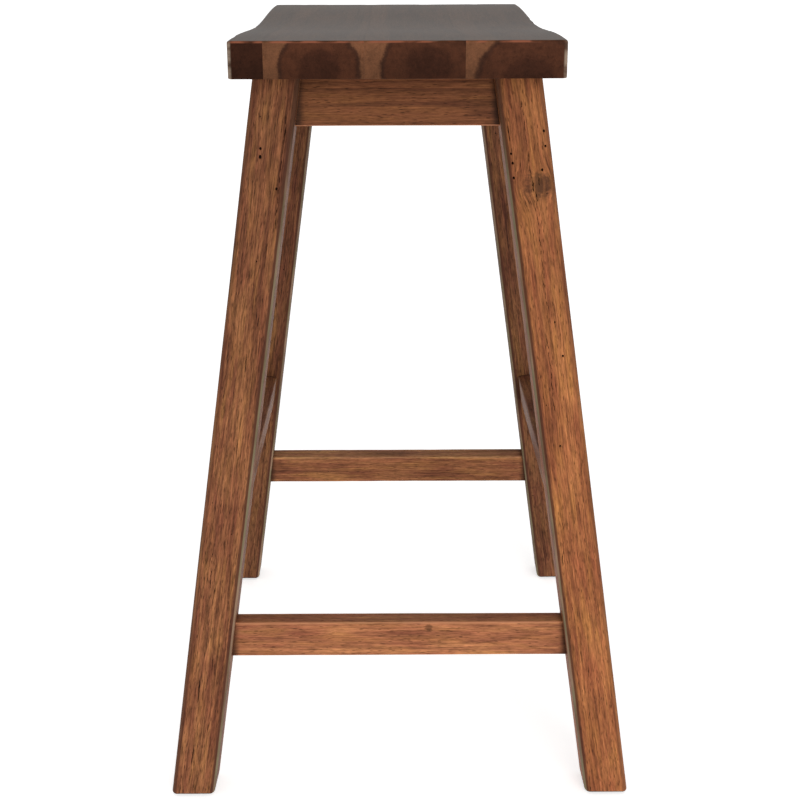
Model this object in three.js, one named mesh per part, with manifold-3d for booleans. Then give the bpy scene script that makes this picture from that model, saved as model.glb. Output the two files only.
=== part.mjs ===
// A saddle-seat bar stool with four splayed legs and footrests, built as a joiner builds it.
//
// Millimetres, +Z up. The origin is on the floor under the middle of the seat. +X runs along the
// seat's long side and the sitter faces -Y, so "front" is -Y, and "right" is +X as seen from there.
//
// The legs and rails of each short end make one flat frame, which leans inwards. The long rails
// join the two frames. Every rail has stub tenons that fit mortises in the legs, the corner blocks
// are screwed to the aprons, and the seat's glued boards are screwed down through those blocks.

import * as THREE from "three";
import { mergeVertices } from "three/addons/utils/BufferGeometryUtils.js";
import Module from "manifold-3d";

const wasm = await Module();
wasm.setup();

// ---- Driving dimensions -------------------------------------------------------------------

const STOOL_HEIGHT = 610; // floor to the raised ends of the seat
const FIT_GAP = 0.3; // air between two pieces that touch, where glue or pressure would be

const SEAT_LENGTH = 446; // along X
const SEAT_DEPTH = 236; // along Y
const SEAT_THICKNESS = 26.2; // at the raised ends
const SADDLE_DIP = 5; // how far the middle of the top lies below its ends
const SADDLE_LEVEL = 32; // level stretch of the top at each end
const SEAT_CORNER_RADIUS = 6;
const STRIP_WIDTH = 24; // the narrow board on the front edge of the glued seat
const FULL_BOARDS = 3; // equal boards that share the rest of the depth

const LEG_SIZE = 35; // side of the square section
const LEG_EDGE_RADIUS = 4;
const FOOT_SPREAD_X = 444; // over the outside of the legs, at the floor
const FOOT_SPREAD_Y = 379;
const TOP_SPREAD_X = 345; // over the outside of the legs, under the seat
const TOP_SPREAD_Y = 212.5;

const RAIL_THICKNESS = 20;
const RAIL_INSET = 2.5; // how far a rail's middle lies inside the middle of the leg
const RAIL_EDGE_RADIUS = 2;
const APRON_HEIGHT = 39;
const APRON_SPARE = 5; // extra on an apron's blank, sawn off level under the seat
const FOOTREST_HEIGHT = 29; // section height of the four lower rails
const END_RAIL_TOP = 149.8; // top of the low rails at the short ends, above the floor
const LONG_RAIL_TOP = 246; // top of the high rails at the long sides, above the floor

const TENON_THICKNESS = 8;
const TENON_SHOULDER = 4; // rail left bare above and below its tenon
const APRON_TOP_SHOULDER = 10; // more under the leg's open top
const TENON_WEB = 1.5; // wood between two tenons that meet in one leg

const BLOCK_ARM = 44; // side of the corner block along each apron
const BLOCK_HEIGHT = 25;
const SCREW_ARM_OFFSET = 28; // apron screw to the block's inner corner, along the apron
const SCREW_SEAT_OFFSET = 7; // seat screw to the leg's inner corner, along each axis

const SCREW_RADIUS = 2;
const SCREW_HEAD_RADIUS = 4;
const SCREW_HEAD_HEIGHT = 2.6;
const SCREW_POINT = 4;
const BLOCK_UNDER_HEAD = 10; // block left between an apron screw's head and the apron
const APRON_BITE = 9.5; // how far an apron screw enters the apron
const SEAT_BITE = 12; // how far a seat screw enters the seat

const GLIDE_RADIUS = 10;
const GLIDE_THICKNESS = 2.5;
const NAIL_RADIUS = 1;
const NAIL_HEAD_RADIUS = 2.8;
const NAIL_HEAD_HEIGHT = 0.8;
const NAIL_BITE = 14; // how far a glide's nail enters the leg

const CURVE_STEPS = 3; // segments in a rounded edge
const SADDLE_STEPS = 20;
const ROUND_SIDES = 12; // sides of screws, nails, glides and their holes
const BEYOND = 60; // overrun of cutting tools and untrimmed blanks
const WELD = 1e-4;

// ---- Worked out from them -----------------------------------------------------------------

const underSeat = STOOL_HEIGHT - SEAT_THICKNESS; // underside of the seat
const frameTop = underSeat - FIT_GAP; // where legs, aprons and blocks end
const frameFoot = GLIDE_THICKNESS + FIT_GAP; // where the legs start

const endLean = Math.atan((FOOT_SPREAD_X - TOP_SPREAD_X) / 2 / frameTop);
const sideLean = Math.atan((FOOT_SPREAD_Y - TOP_SPREAD_Y) / 2 / frameTop);
const legTilt = Math.atan(Math.tan(sideLean) * Math.cos(endLean)); // inside the leaning frame

const railDepth = LEG_SIZE / 2 + RAIL_INSET; // outer face of a leg to the middle of a rail
const railBack = railDepth + RAIL_THICKNESS / 2; // outer face of a leg to the back of a rail
const tenonLength = LEG_SIZE / 2 - TENON_THICKNESS / 2 - RAIL_INSET - TENON_WEB;

const boardWidth = (SEAT_DEPTH - STRIP_WIDTH - FULL_BOARDS * FIT_GAP) / FULL_BOARDS;
const blockMiddle = frameTop - BLOCK_HEIGHT / 2;

/** Middle of a leg's level section at a height, for the leg towards +X and +Y. */
function legCentre(z) {
  return {
    x: FOOT_SPREAD_X / 2 - z * Math.tan(endLean) - LEG_SIZE / 2 / Math.cos(endLean),
    y: FOOT_SPREAD_Y / 2 - z * Math.tan(sideLean) - LEG_SIZE / 2 / Math.cos(sideLean),
  };
}

// ---- Finishes -----------------------------------------------------------------------------

const finishes = {
  seat: new THREE.MeshStandardMaterial({ color: 0x5a3d2d, roughness: 0.42 }),
  frame: new THREE.MeshStandardMaterial({ color: 0x94603c, roughness: 0.6 }),
  block: new THREE.MeshStandardMaterial({ color: 0xc9a87c, roughness: 0.8 }),
  steel: new THREE.MeshStandardMaterial({ color: 0xa9a9a6, roughness: 0.35, metalness: 1 }),
  glide: new THREE.MeshStandardMaterial({ color: 0x2b2623, roughness: 0.5 }),
};

// ---- Solids: three.js makes each shape, manifold-3d joins and cuts ------------------------

/** A closed geometry, moved by a matrix, as a solid. */
function solidOf(geometry, matrix = new THREE.Matrix4()) {
  const bare = geometry.clone();
  bare.deleteAttribute("normal");
  bare.deleteAttribute("uv");
  bare.applyMatrix4(matrix);
  const welded = mergeVertices(bare, WELD);
  const vertProperties = welded.getAttribute("position").array;
  const triVerts = new Uint32Array(welded.index.array);
  return new wasm.Manifold(new wasm.Mesh({ numProp: 3, vertProperties, triVerts }));
}

/** The mesh's present shape as a solid in the stool's frame. */
function solidInStool(mesh) {
  return solidOf(mesh.geometry, mesh.matrixWorld);
}

/** Gives the mesh a new shape, which is stated in the stool's frame. */
function reshape(mesh, solid) {
  const { vertProperties, triVerts } = solid.getMesh();
  const geometry = new THREE.BufferGeometry();
  geometry.setAttribute("position", new THREE.BufferAttribute(vertProperties.slice(), 3));
  geometry.setIndex(new THREE.BufferAttribute(triVerts.slice(), 1));
  geometry.applyMatrix4(mesh.matrixWorld.clone().invert());
  geometry.computeVertexNormals();
  mesh.geometry = geometry;
}

/** Takes each tool, a solid in the stool's frame, out of the mesh. */
function cut(mesh, ...tools) {
  reshape(mesh, tools.reduce((body, tool) => body.subtract(tool), solidInStool(mesh)));
}

/** Keeps only what lies between two heights. */
function trimLevel(mesh, low, high) {
  const slab = new THREE.BoxGeometry(2 * FOOT_SPREAD_X, 2 * FOOT_SPREAD_Y, high - low);
  slab.translate(0, 0, (low + high) / 2);
  reshape(mesh, solidInStool(mesh).intersect(solidOf(slab)));
}

// ---- Shapes -------------------------------------------------------------------------------

/** A rectangle with round corners, centred on the origin. */
function roundedRectangle(width, height, radius) {
  const r = Math.min(radius, width / 2.5, height / 2.5);
  const x = width / 2 - r;
  const y = height / 2 - r;
  const shape = new THREE.Shape();
  shape.absarc(x, y, r, 0, Math.PI / 2, false);
  shape.absarc(-x, y, r, Math.PI / 2, Math.PI, false);
  shape.absarc(-x, -y, r, Math.PI, Math.PI * 1.5, false);
  shape.absarc(x, -y, r, Math.PI * 1.5, Math.PI * 2, false);
  shape.closePath();
  return shape;
}

/** A straight bar along Z, centred on the origin, with round long edges. */
function roundedBar(width, height, length, radius) {
  const options = { depth: length, bevelEnabled: false, curveSegments: CURVE_STEPS };
  const geometry = new THREE.ExtrudeGeometry(roundedRectangle(width, height, radius), options);
  return geometry.translate(0, 0, -length / 2);
}

/** The seat's side outline: flat below, and dipping smoothly in the middle above. */
function saddleOutline() {
  const half = SEAT_LENGTH / 2;
  const reach = half - SADDLE_LEVEL;
  const shape = new THREE.Shape();
  shape.moveTo(-half, underSeat);
  shape.lineTo(half, underSeat);
  shape.lineTo(half, STOOL_HEIGHT);
  for (let step = 0; step <= SADDLE_STEPS; step += 1) {
    const x = reach * (1 - (2 * step) / SADDLE_STEPS);
    const share = (1 + Math.cos((Math.PI * x) / reach)) / 2;
    shape.lineTo(x, STOOL_HEIGHT - SADDLE_DIP * share);
  }
  shape.lineTo(-half, STOOL_HEIGHT);
  shape.closePath();
  return shape;
}

/** A pan-head wood screw: its head's underside is at the origin and it points along +Z. */
function screwGeometry(bite) {
  const dome = SCREW_HEAD_HEIGHT / 2;
  const profile = [
    new THREE.Vector2(0, -SCREW_HEAD_HEIGHT),
    new THREE.Vector2(SCREW_HEAD_RADIUS * 0.62, -SCREW_HEAD_HEIGHT),
    new THREE.Vector2(SCREW_HEAD_RADIUS, -dome),
    new THREE.Vector2(SCREW_HEAD_RADIUS, 0),
    new THREE.Vector2(SCREW_RADIUS, 0),
    new THREE.Vector2(SCREW_RADIUS, bite - SCREW_POINT),
    new THREE.Vector2(0, bite),
  ];
  return new THREE.LatheGeometry(profile, ROUND_SIDES).rotateX(Math.PI / 2);
}

/** A flat-head nail: its head's top is at the origin and it points along +Z. */
function nailGeometry(length) {
  const profile = [
    new THREE.Vector2(0, 0),
    new THREE.Vector2(NAIL_HEAD_RADIUS, 0),
    new THREE.Vector2(NAIL_HEAD_RADIUS, NAIL_HEAD_HEIGHT),
    new THREE.Vector2(NAIL_RADIUS, NAIL_HEAD_HEIGHT),
    new THREE.Vector2(NAIL_RADIUS, length - 2 * NAIL_RADIUS),
    new THREE.Vector2(0, length),
  ];
  return new THREE.LatheGeometry(profile, ROUND_SIDES).rotateX(Math.PI / 2);
}

/** A round plastic glide that stands on z = 0, with a stepped hole for its nail. */
function glideGeometry() {
  const edge = 0.6;
  const step = NAIL_HEAD_HEIGHT + 2 * FIT_GAP;
  const profile = [
    new THREE.Vector2(NAIL_HEAD_RADIUS + FIT_GAP, 0),
    new THREE.Vector2(GLIDE_RADIUS - edge, 0),
    new THREE.Vector2(GLIDE_RADIUS, edge),
    new THREE.Vector2(GLIDE_RADIUS, GLIDE_THICKNESS),
    new THREE.Vector2(NAIL_RADIUS + FIT_GAP, GLIDE_THICKNESS),
    new THREE.Vector2(NAIL_RADIUS + FIT_GAP, step),
    new THREE.Vector2(NAIL_HEAD_RADIUS + FIT_GAP, step),
    new THREE.Vector2(NAIL_HEAD_RADIUS + FIT_GAP, 0),
  ];
  return new THREE.LatheGeometry(profile, ROUND_SIDES).rotateX(Math.PI / 2);
}

/** A round cutting tool along +Z, from one height to another. */
function drill(radius, from, to) {
  const geometry = new THREE.CylinderGeometry(radius, radius, to - from, ROUND_SIDES);
  return geometry.rotateX(Math.PI / 2).translate(0, 0, (from + to) / 2);
}

/** Everything that a seated screw needs room for: its shank's hole and its head's pocket. */
function screwRoom(screw, bite) {
  const shank = drill(SCREW_RADIUS + FIT_GAP, -FIT_GAP, bite + FIT_GAP);
  const head = drill(SCREW_HEAD_RADIUS + FIT_GAP, -BEYOND, FIT_GAP);
  return solidOf(shank, screw.matrixWorld).add(solidOf(head, screw.matrixWorld));
}

// ---- The tree of pieces -------------------------------------------------------------------

const stool = new THREE.Group();

function addPiece(parent, name, geometry, finish) {
  const mesh = new THREE.Mesh(geometry, finishes[finish]);
  mesh.name = name;
  parent.add(mesh);
  return mesh;
}

// A frame for each short end: x outwards, y across and z up its own slope, with its outer face
// at x = 0. The left one is the right one turned half a turn about the stool's middle.
const endFrames = [];
for (const [end, turn] of [["right", 0], ["left", Math.PI]]) {
  const turned = new THREE.Group();
  turned.rotation.z = turn;
  const leaning = new THREE.Group();
  leaning.position.x = FOOT_SPREAD_X / 2;
  leaning.rotation.y = -endLean;
  turned.add(leaning);
  stool.add(turned);
  endFrames.push({ end, group: leaning, sides: end === "right" ? ["back", "front"] : ["front", "back"] });
}

// A frame for each long side, in the same way: y outwards, with its outer face at y = 0.
const sideFrames = [];
for (const [side, turn] of [["back", 0], ["front", Math.PI]]) {
  const turned = new THREE.Group();
  turned.rotation.z = turn;
  const leaning = new THREE.Group();
  leaning.position.y = FOOT_SPREAD_Y / 2;
  leaning.rotation.x = sideLean;
  turned.add(leaning);
  stool.add(turned);
  sideFrames.push({ side, group: leaning });
}

// ---- Legs ---------------------------------------------------------------------------------

const legLength = frameTop / Math.cos(endLean) / Math.cos(legTilt);
const legs = {};

/** A leg's blank along its axis, from under the floor to above the seat. */
function legBlank() {
  const blank = roundedBar(LEG_SIZE, LEG_SIZE, legLength + BEYOND, LEG_EDGE_RADIUS);
  return blank.translate(0, 0, legLength / 2);
}

for (const { end, group, sides } of endFrames) {
  for (const [index, across] of [1, -1].entries()) {
    const leg = addPiece(group, `leg_${end}_${sides[index]}`, legBlank(), "frame");
    const middle = FOOT_SPREAD_Y / 2 - LEG_SIZE / 2 / Math.cos(legTilt);
    leg.position.set(-LEG_SIZE / 2, across * middle, 0);
    leg.rotation.x = across * legTilt;
    legs[`${end}_${sides[index]}`] = leg;
  }
}
stool.updateMatrixWorld(true);

/** A leg's room, grown on each side by some air, or shrunk by it, in the stool's frame. */
function legRoom(leg, air) {
  const size = LEG_SIZE + 2 * air;
  const box = new THREE.BoxGeometry(size, size, legLength + BEYOND);
  return solidOf(box.translate(0, 0, legLength / 2), leg.matrixWorld);
}

// ---- Rails, with a stub tenon at each end -------------------------------------------------

/** Turns a bar along Z into a rail along X or Y, with its section's height along Z. */
function layAlong(axis, geometry) {
  return axis === "x" ? geometry.rotateY(Math.PI / 2).rotateX(Math.PI / 2) : geometry.rotateX(Math.PI / 2);
}

/**
 * Adds a rail between two legs and cuts its mortises. bottom is its height above the floor, and
 * height and spare are measured up the slope of its frame. The rail's blank runs from leg axis to
 * leg axis, and the legs' own room cuts its shoulders. The tenons reach as far as a thinner core
 * of the leg, and the mortises a little more.
 */
function addRail({ frame, axis, name, bottom, height, spare, topShoulder, lean, between }) {
  const rail = addPiece(frame, name, new THREE.BufferGeometry(), "frame");
  const reach = 2 * legCentre(bottom + height / 2)[axis];
  const middle = bottom / Math.cos(lean) + height / 2;
  rail.position.set(axis === "x" ? 0 : -railDepth, axis === "x" ? -railDepth : 0, middle);
  rail.updateMatrixWorld(true);

  const tenonHeight = height - TENON_SHOULDER - topShoulder;
  const tenonDrop = (TENON_SHOULDER - topShoulder) / 2;
  const blank = layAlong(axis, roundedBar(RAIL_THICKNESS, height + spare, reach, RAIL_EDGE_RADIUS));
  blank.translate(0, 0, spare / 2);
  const tongue = (air) => {
    const box = new THREE.BoxGeometry(TENON_THICKNESS + 2 * air, tenonHeight + 2 * air, reach);
    return layAlong(axis, box).translate(0, 0, tenonDrop);
  };

  let body = solidOf(blank, rail.matrixWorld);
  let tenons = solidOf(tongue(0), rail.matrixWorld);
  let room = solidOf(tongue(FIT_GAP), rail.matrixWorld);
  for (const leg of between) {
    body = body.subtract(legRoom(leg, FIT_GAP));
    tenons = tenons.subtract(legRoom(leg, -tenonLength));
    room = room.subtract(legRoom(leg, -tenonLength - FIT_GAP));
  }
  reshape(rail, body.add(tenons));
  between.forEach((leg) => cut(leg, room));
  return rail;
}

const aprons = { end: [], side: [] };
for (const { end, group, sides } of endFrames) {
  const between = sides.map((side) => legs[`${end}_${side}`]);
  const common = { frame: group, axis: "y", lean: endLean, between };
  aprons.end.push(
    addRail({
      ...common,
      name: `apron_${end}`,
      bottom: frameTop - APRON_HEIGHT,
      height: APRON_HEIGHT,
      spare: APRON_SPARE,
      topShoulder: APRON_TOP_SHOULDER,
    }),
  );
  addRail({
    ...common,
    name: `stretcher_${end}`,
    bottom: END_RAIL_TOP - FOOTREST_HEIGHT,
    height: FOOTREST_HEIGHT,
    spare: 0,
    topShoulder: TENON_SHOULDER,
  });
}
for (const { side, group } of sideFrames) {
  const between = ["left", "right"].map((end) => legs[`${end}_${side}`]);
  const common = { frame: group, axis: "x", lean: sideLean, between };
  aprons.side.push(
    addRail({
      ...common,
      name: `apron_${side}`,
      bottom: frameTop - APRON_HEIGHT,
      height: APRON_HEIGHT,
      spare: APRON_SPARE,
      topShoulder: APRON_TOP_SHOULDER,
    }),
  );
  addRail({
    ...common,
    name: `footrest_${side}`,
    bottom: LONG_RAIL_TOP - FOOTREST_HEIGHT,
    height: FOOTREST_HEIGHT,
    spare: 0,
    topShoulder: TENON_SHOULDER,
  });
}

// The legs and the leaning aprons are sawn level, under the seat and at the foot.
Object.values(legs).forEach((leg) => trimLevel(leg, frameFoot, frameTop));
[...aprons.end, ...aprons.side].forEach((apron) => trimLevel(apron, frameFoot, frameTop));

// ---- Seat: boards glued edge to edge ------------------------------------------------------

const seatPlan = roundedBar(SEAT_LENGTH, SEAT_DEPTH, 2 * BEYOND, SEAT_CORNER_RADIUS);
seatPlan.translate(0, 0, underSeat);

const boards = [];
let boardStart = -SEAT_DEPTH / 2;
for (let index = 0; index <= FULL_BOARDS; index += 1) {
  const width = index === 0 ? STRIP_WIDTH : boardWidth;
  const blank = new THREE.ExtrudeGeometry(saddleOutline(), { depth: width, bevelEnabled: false });
  blank.rotateX(Math.PI / 2).translate(0, width / 2, 0);
  const board = addPiece(stool, index === 0 ? "seat_strip" : `seat_board_${index}`, blank, "seat");
  board.position.y = boardStart + width / 2;
  board.updateMatrixWorld(true);
  reshape(board, solidInStool(board).intersect(solidOf(seatPlan)));
  boards.push(board);
  boardStart += width + FIT_GAP;
}

// ---- Corner blocks and their screws -------------------------------------------------------

/** The space outside the back face of a frame's rails, less the fitting gap. */
function outsideRails(group, axis) {
  const thick = railBack + FIT_GAP + BEYOND;
  const size = [FOOT_SPREAD_X, FOOT_SPREAD_Y];
  size[axis === "x" ? 0 : 1] = thick;
  const box = new THREE.BoxGeometry(size[0], size[1], 3 * STOOL_HEIGHT);
  const shift = BEYOND - thick / 2;
  box.translate(axis === "x" ? shift : 0, axis === "y" ? shift : 0, 0);
  return solidOf(box, group.matrixWorld);
}

/** A screw that drives along a frame's outward axis, from inside the corner block. */
function addApronScrew({ name, group, apron, block, axis, along, height }) {
  const screw = addPiece(group, name, screwGeometry(BLOCK_UNDER_HEAD + FIT_GAP + APRON_BITE), "steel");
  const head = -(railBack + FIT_GAP + BLOCK_UNDER_HEAD);
  screw.position.set(axis === "x" ? head : along, axis === "x" ? along : head, height);
  screw.rotation.set(axis === "y" ? -Math.PI / 2 : 0, axis === "x" ? Math.PI / 2 : 0, 0);
  screw.updateMatrixWorld(true);
  const room = screwRoom(screw, BLOCK_UNDER_HEAD + FIT_GAP + APRON_BITE);
  cut(apron, room);
  cut(block, room);
}

for (const [endIndex, { end, group: endGroup }] of endFrames.entries()) {
  for (const [sideIndex, { side, group: sideGroup }] of sideFrames.entries()) {
    const toX = end === "right" ? 1 : -1;
    const toY = side === "back" ? 1 : -1;
    const corner = `${end}_${side}`;
    const leg = legs[corner];
    const centre = legCentre(blockMiddle);
    const inner = { x: centre.x + LEG_SIZE / 2 - railBack, y: centre.y + LEG_SIZE / 2 - railBack };

    // A triangle whose blank runs past both aprons' backs, which then cut it, as the leg does.
    const past = BEYOND / 2;
    const outline = new THREE.Shape();
    outline.moveTo(toX * past, toY * past);
    outline.lineTo(toX * -BLOCK_ARM, toY * past);
    outline.lineTo(toX * -BLOCK_ARM, 0);
    outline.lineTo(0, toY * -BLOCK_ARM);
    outline.lineTo(toX * past, toY * -BLOCK_ARM);
    outline.closePath();
    const prism = new THREE.ExtrudeGeometry(outline, { depth: BLOCK_HEIGHT, bevelEnabled: false });
    const block = addPiece(stool, `corner_block_${corner}`, prism, "block");
    block.position.set(toX * inner.x, toY * inner.y, frameTop - BLOCK_HEIGHT);
    block.updateMatrixWorld(true);
    cut(block, legRoom(leg, FIT_GAP), outsideRails(endGroup, "x"), outsideRails(sideGroup, "y"));

    // The seat screw stands just inside the leg's inner corner.
    const seatBite = BLOCK_HEIGHT + 2 * FIT_GAP + SEAT_BITE;
    const seatScrew = addPiece(stool, `seat_screw_${corner}`, screwGeometry(seatBite), "steel");
    const seatScrewX = toX * (centre.x - LEG_SIZE / 2 - SCREW_SEAT_OFFSET);
    const seatScrewY = toY * (centre.y - LEG_SIZE / 2 - SCREW_SEAT_OFFSET);
    seatScrew.position.set(seatScrewX, seatScrewY, frameTop - BLOCK_HEIGHT - FIT_GAP);
    seatScrew.updateMatrixWorld(true);
    const seatScrewRoom = screwRoom(seatScrew, seatBite);
    cut(block, seatScrewRoom);
    boards.forEach((board) => cut(board, seatScrewRoom));

    // One screw through each arm into its apron. A turned frame's own axes run backwards.
    const endWay = end === "right" ? toY : -toY;
    const sideWay = side === "back" ? toX : -toX;
    addApronScrew({
      block,
      name: `end_screw_${corner}`,
      group: endGroup,
      apron: aprons.end[endIndex],
      axis: "x",
      along: endWay * (inner.y - SCREW_ARM_OFFSET),
      height: blockMiddle / Math.cos(endLean),
    });
    addApronScrew({
      block,
      name: `side_screw_${corner}`,
      group: sideGroup,
      apron: aprons.side[sideIndex],
      axis: "y",
      along: sideWay * (inner.x - SCREW_ARM_OFFSET),
      height: blockMiddle / Math.cos(sideLean),
    });
  }
}

// ---- Glides nailed under the feet ---------------------------------------------------------

for (const [corner, leg] of Object.entries(legs)) {
  const toX = corner.startsWith("right") ? 1 : -1;
  const toY = corner.endsWith("back") ? 1 : -1;
  const foot = legCentre(frameFoot);
  const glide = addPiece(stool, `glide_${corner}`, glideGeometry(), "glide");
  glide.position.set(toX * foot.x, toY * foot.y, 0);
  const nailLength = frameFoot - FIT_GAP + NAIL_BITE;
  const nail = addPiece(stool, `glide_nail_${corner}`, nailGeometry(nailLength), "steel");
  nail.position.set(toX * foot.x, toY * foot.y, FIT_GAP);
  nail.updateMatrixWorld(true);
  cut(leg, solidOf(drill(NAIL_RADIUS + FIT_GAP, -BEYOND, nailLength + FIT_GAP), nail.matrixWorld));
}

export default stool;
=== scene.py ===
# %% [markdown]
# # A saddle-seat bar stool
#
# This lesson dresses the imported frame of a wooden bar stool. The frame says where every piece is
# and how large it is. Here each piece is made again in fine mesh, with the soft edges, drying
# cracks and worm holes of real timber, and gets a wood, steel or plastic finish made of nodes.
#
# First the frame is loaded, and its box is kept.

# %% Load the frame
import math

import bmesh
import bpy
import numpy as np
from mathutils import Matrix, Vector


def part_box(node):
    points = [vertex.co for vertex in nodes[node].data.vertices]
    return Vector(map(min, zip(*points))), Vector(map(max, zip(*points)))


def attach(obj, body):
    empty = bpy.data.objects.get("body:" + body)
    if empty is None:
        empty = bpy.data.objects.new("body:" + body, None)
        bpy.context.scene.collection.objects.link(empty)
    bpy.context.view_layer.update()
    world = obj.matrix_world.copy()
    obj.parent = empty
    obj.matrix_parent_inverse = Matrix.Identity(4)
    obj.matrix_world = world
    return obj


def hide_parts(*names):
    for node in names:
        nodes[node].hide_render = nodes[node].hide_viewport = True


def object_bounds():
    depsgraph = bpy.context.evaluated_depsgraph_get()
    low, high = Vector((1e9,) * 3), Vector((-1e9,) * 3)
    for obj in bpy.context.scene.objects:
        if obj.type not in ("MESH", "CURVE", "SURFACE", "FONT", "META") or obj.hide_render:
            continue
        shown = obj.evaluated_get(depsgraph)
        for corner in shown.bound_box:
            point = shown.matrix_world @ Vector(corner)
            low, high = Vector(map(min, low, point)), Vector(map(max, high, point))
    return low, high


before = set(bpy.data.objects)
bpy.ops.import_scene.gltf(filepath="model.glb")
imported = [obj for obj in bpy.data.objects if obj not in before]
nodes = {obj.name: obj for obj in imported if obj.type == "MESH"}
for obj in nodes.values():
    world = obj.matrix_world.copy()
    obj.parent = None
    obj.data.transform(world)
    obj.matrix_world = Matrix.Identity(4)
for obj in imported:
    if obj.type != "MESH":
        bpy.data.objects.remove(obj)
cad_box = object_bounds()
MM = 0.001
print("frame:", len(nodes), "pieces,", [round(side / MM) for side in cad_box[1] - cad_box[0]], "mm")

# %% [markdown]
# The camera stands at the right end of the stool, a little above the seat, and looks down a bit.
# It could be aimed with a Track To constraint. Here its three directions are written as a matrix,
# so that the slight turn and roll of the camera are kept too.

# %% Camera
CAMERA_PLACE = Vector((1.2353, -0.0027, 0.6889))
CAMERA_DOWN = math.radians(18.65)
CAMERA_TURN = math.radians(0.212)
CAMERA_ROLL = math.radians(-0.16)
CAMERA_LENS = 63.97

ahead = Vector((-math.cos(CAMERA_DOWN) * math.cos(CAMERA_TURN),
                math.cos(CAMERA_DOWN) * math.sin(CAMERA_TURN), -math.sin(CAMERA_DOWN)))
level_right = ahead.cross(Vector((0, 0, 1))).normalized()
level_up = level_right.cross(ahead)
turned = Matrix((level_right, level_up, -ahead)).transposed()
turned = Matrix.Rotation(CAMERA_ROLL, 3, -ahead) @ turned
camera_data = bpy.data.cameras.new("camera")
camera_data.lens = CAMERA_LENS
camera_data.clip_end = 200
camera = bpy.data.objects.new("camera", camera_data)
camera.matrix_world = Matrix.Translation(CAMERA_PLACE) @ turned.to_4x4()
bpy.context.collection.objects.link(camera)
bpy.context.scene.camera = camera
print("camera:", CAMERA_LENS, "mm lens,", round(CAMERA_PLACE.length, 2), "m from the origin")

# %% [markdown]
# ## Reading a bar from the frame
#
# Legs and rails are straight bars. For each one a small set of directions is found: along the
# grain, and across it two ways. A mesh made in those directions, with its object turned into
# place, has a big advantage later: the Object texture coordinate then runs along the wood, as real
# grain does, however the piece leans.

# %% Directions of a bar
UP = Vector((0, 0, 1))
TOUCH = 0.02 * MM


def cad_points(name):
    """A frame node's vertices, one row each, in metres."""
    mesh = nodes[name].data
    found = np.empty(len(mesh.vertices) * 3, np.float32)
    mesh.vertices.foreach_get("co", found)
    return found.reshape(-1, 3).astype(float)


def level_middle(points, height):
    """Middle of the outline that a piece has at one height."""
    ring = points[abs(points[:, 2] - height) < TOUCH]
    return Vector((ring.min(0) + ring.max(0)) / 2)


def placed(place, along, across):
    """A matrix for a piece at place, with its X along the grain and its Y across."""
    depth = along.cross(across)
    turn = Matrix((along, across, depth)).transposed()
    return Matrix.Translation(place) @ turn.to_4x4()


def reach(points, place, direction):
    """How far points reach from a place, each way along a direction."""
    away = (points - np.array(place)) @ np.array(direction)
    return away.min(), away.max()


# %% Measure the four legs
ENDS = {"right": 1, "left": -1}
SIDES = {"back": 1, "front": -1}
CORNERS = [(end, side) for end in ENDS for side in SIDES]
legs = {}
for end, side in CORNERS:
    points = cad_points(f"leg_{end}_{side}")
    low, high = points[:, 2].min(), points[:, 2].max()
    foot = level_middle(points, low)
    along = (level_middle(points, high) - foot).normalized()
    outward = Vector((0, 1, 0)).cross(along).normalized() * ENDS[end]
    half = reach(points, foot, outward)[1]
    legs[end, side] = {
        "matrix": placed(foot, along, outward), "foot": foot, "along": along,
        "outward": outward, "half": half, "low": low, "high": high,
    }
print("legs:", round(2 * half / MM, 1), "mm square, lean",
      [round(math.degrees(math.atan(abs(along[axis] / along.z))), 2) for axis in (0, 1)], "degrees")

# %% [markdown]
# ## Lofting
#
# A bar could be a cube with a bevel, but its ends would be square and its faces empty. A loft is
# better: an outline with round corners is swept along the bar in many close rings. Each ring is
# laid on a plane, so the foot can be sawn level and a rail's shoulder can follow the slope of the
# leg that it meets. The many rings also give the surface something to bend when it is worn.

# %% Outline with round corners
CORNER_TURNS = ((1, 1), (-1, 1), (-1, -1), (1, -1))


def rounded_outline(half_y, half_z, radius, steps_y, steps_z, round_steps=6):
    """Points round a rectangle with round corners, anticlockwise, and the way out at each."""
    points, outwards = [], []
    for turn, (side_y, side_z) in enumerate(CORNER_TURNS):
        middle = np.array((side_y * (half_y - radius), side_z * (half_z - radius)))
        for step in range(round_steps + 1):
            angle = math.pi / 2 * (turn + step / round_steps)
            way = np.array((math.cos(angle), math.sin(angle)))
            points.append(middle + radius * way)
            outwards.append(way)
        next_y, next_z = CORNER_TURNS[(turn + 1) % 4]
        start = points[-1]
        end = np.array((next_y * (half_y - radius), next_z * (half_z - radius))) + radius * way
        steps = steps_z if turn % 2 else steps_y
        for step in range(1, steps):
            points.append(start + (end - start) * step / steps)
            outwards.append(way)
    return np.array(points), np.array(outwards)


def on_plane(outline, plane):
    """The outline's points moved along X onto a plane, x = plane[0] + plane[1] y + plane[2] z."""
    x = plane[0] + outline @ np.array(plane[1:])
    return np.column_stack((x, outline))


# %% Rings into a closed mesh
CAP_SCALES = (0.12, 0.4, 0.68, 0.88)


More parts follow.
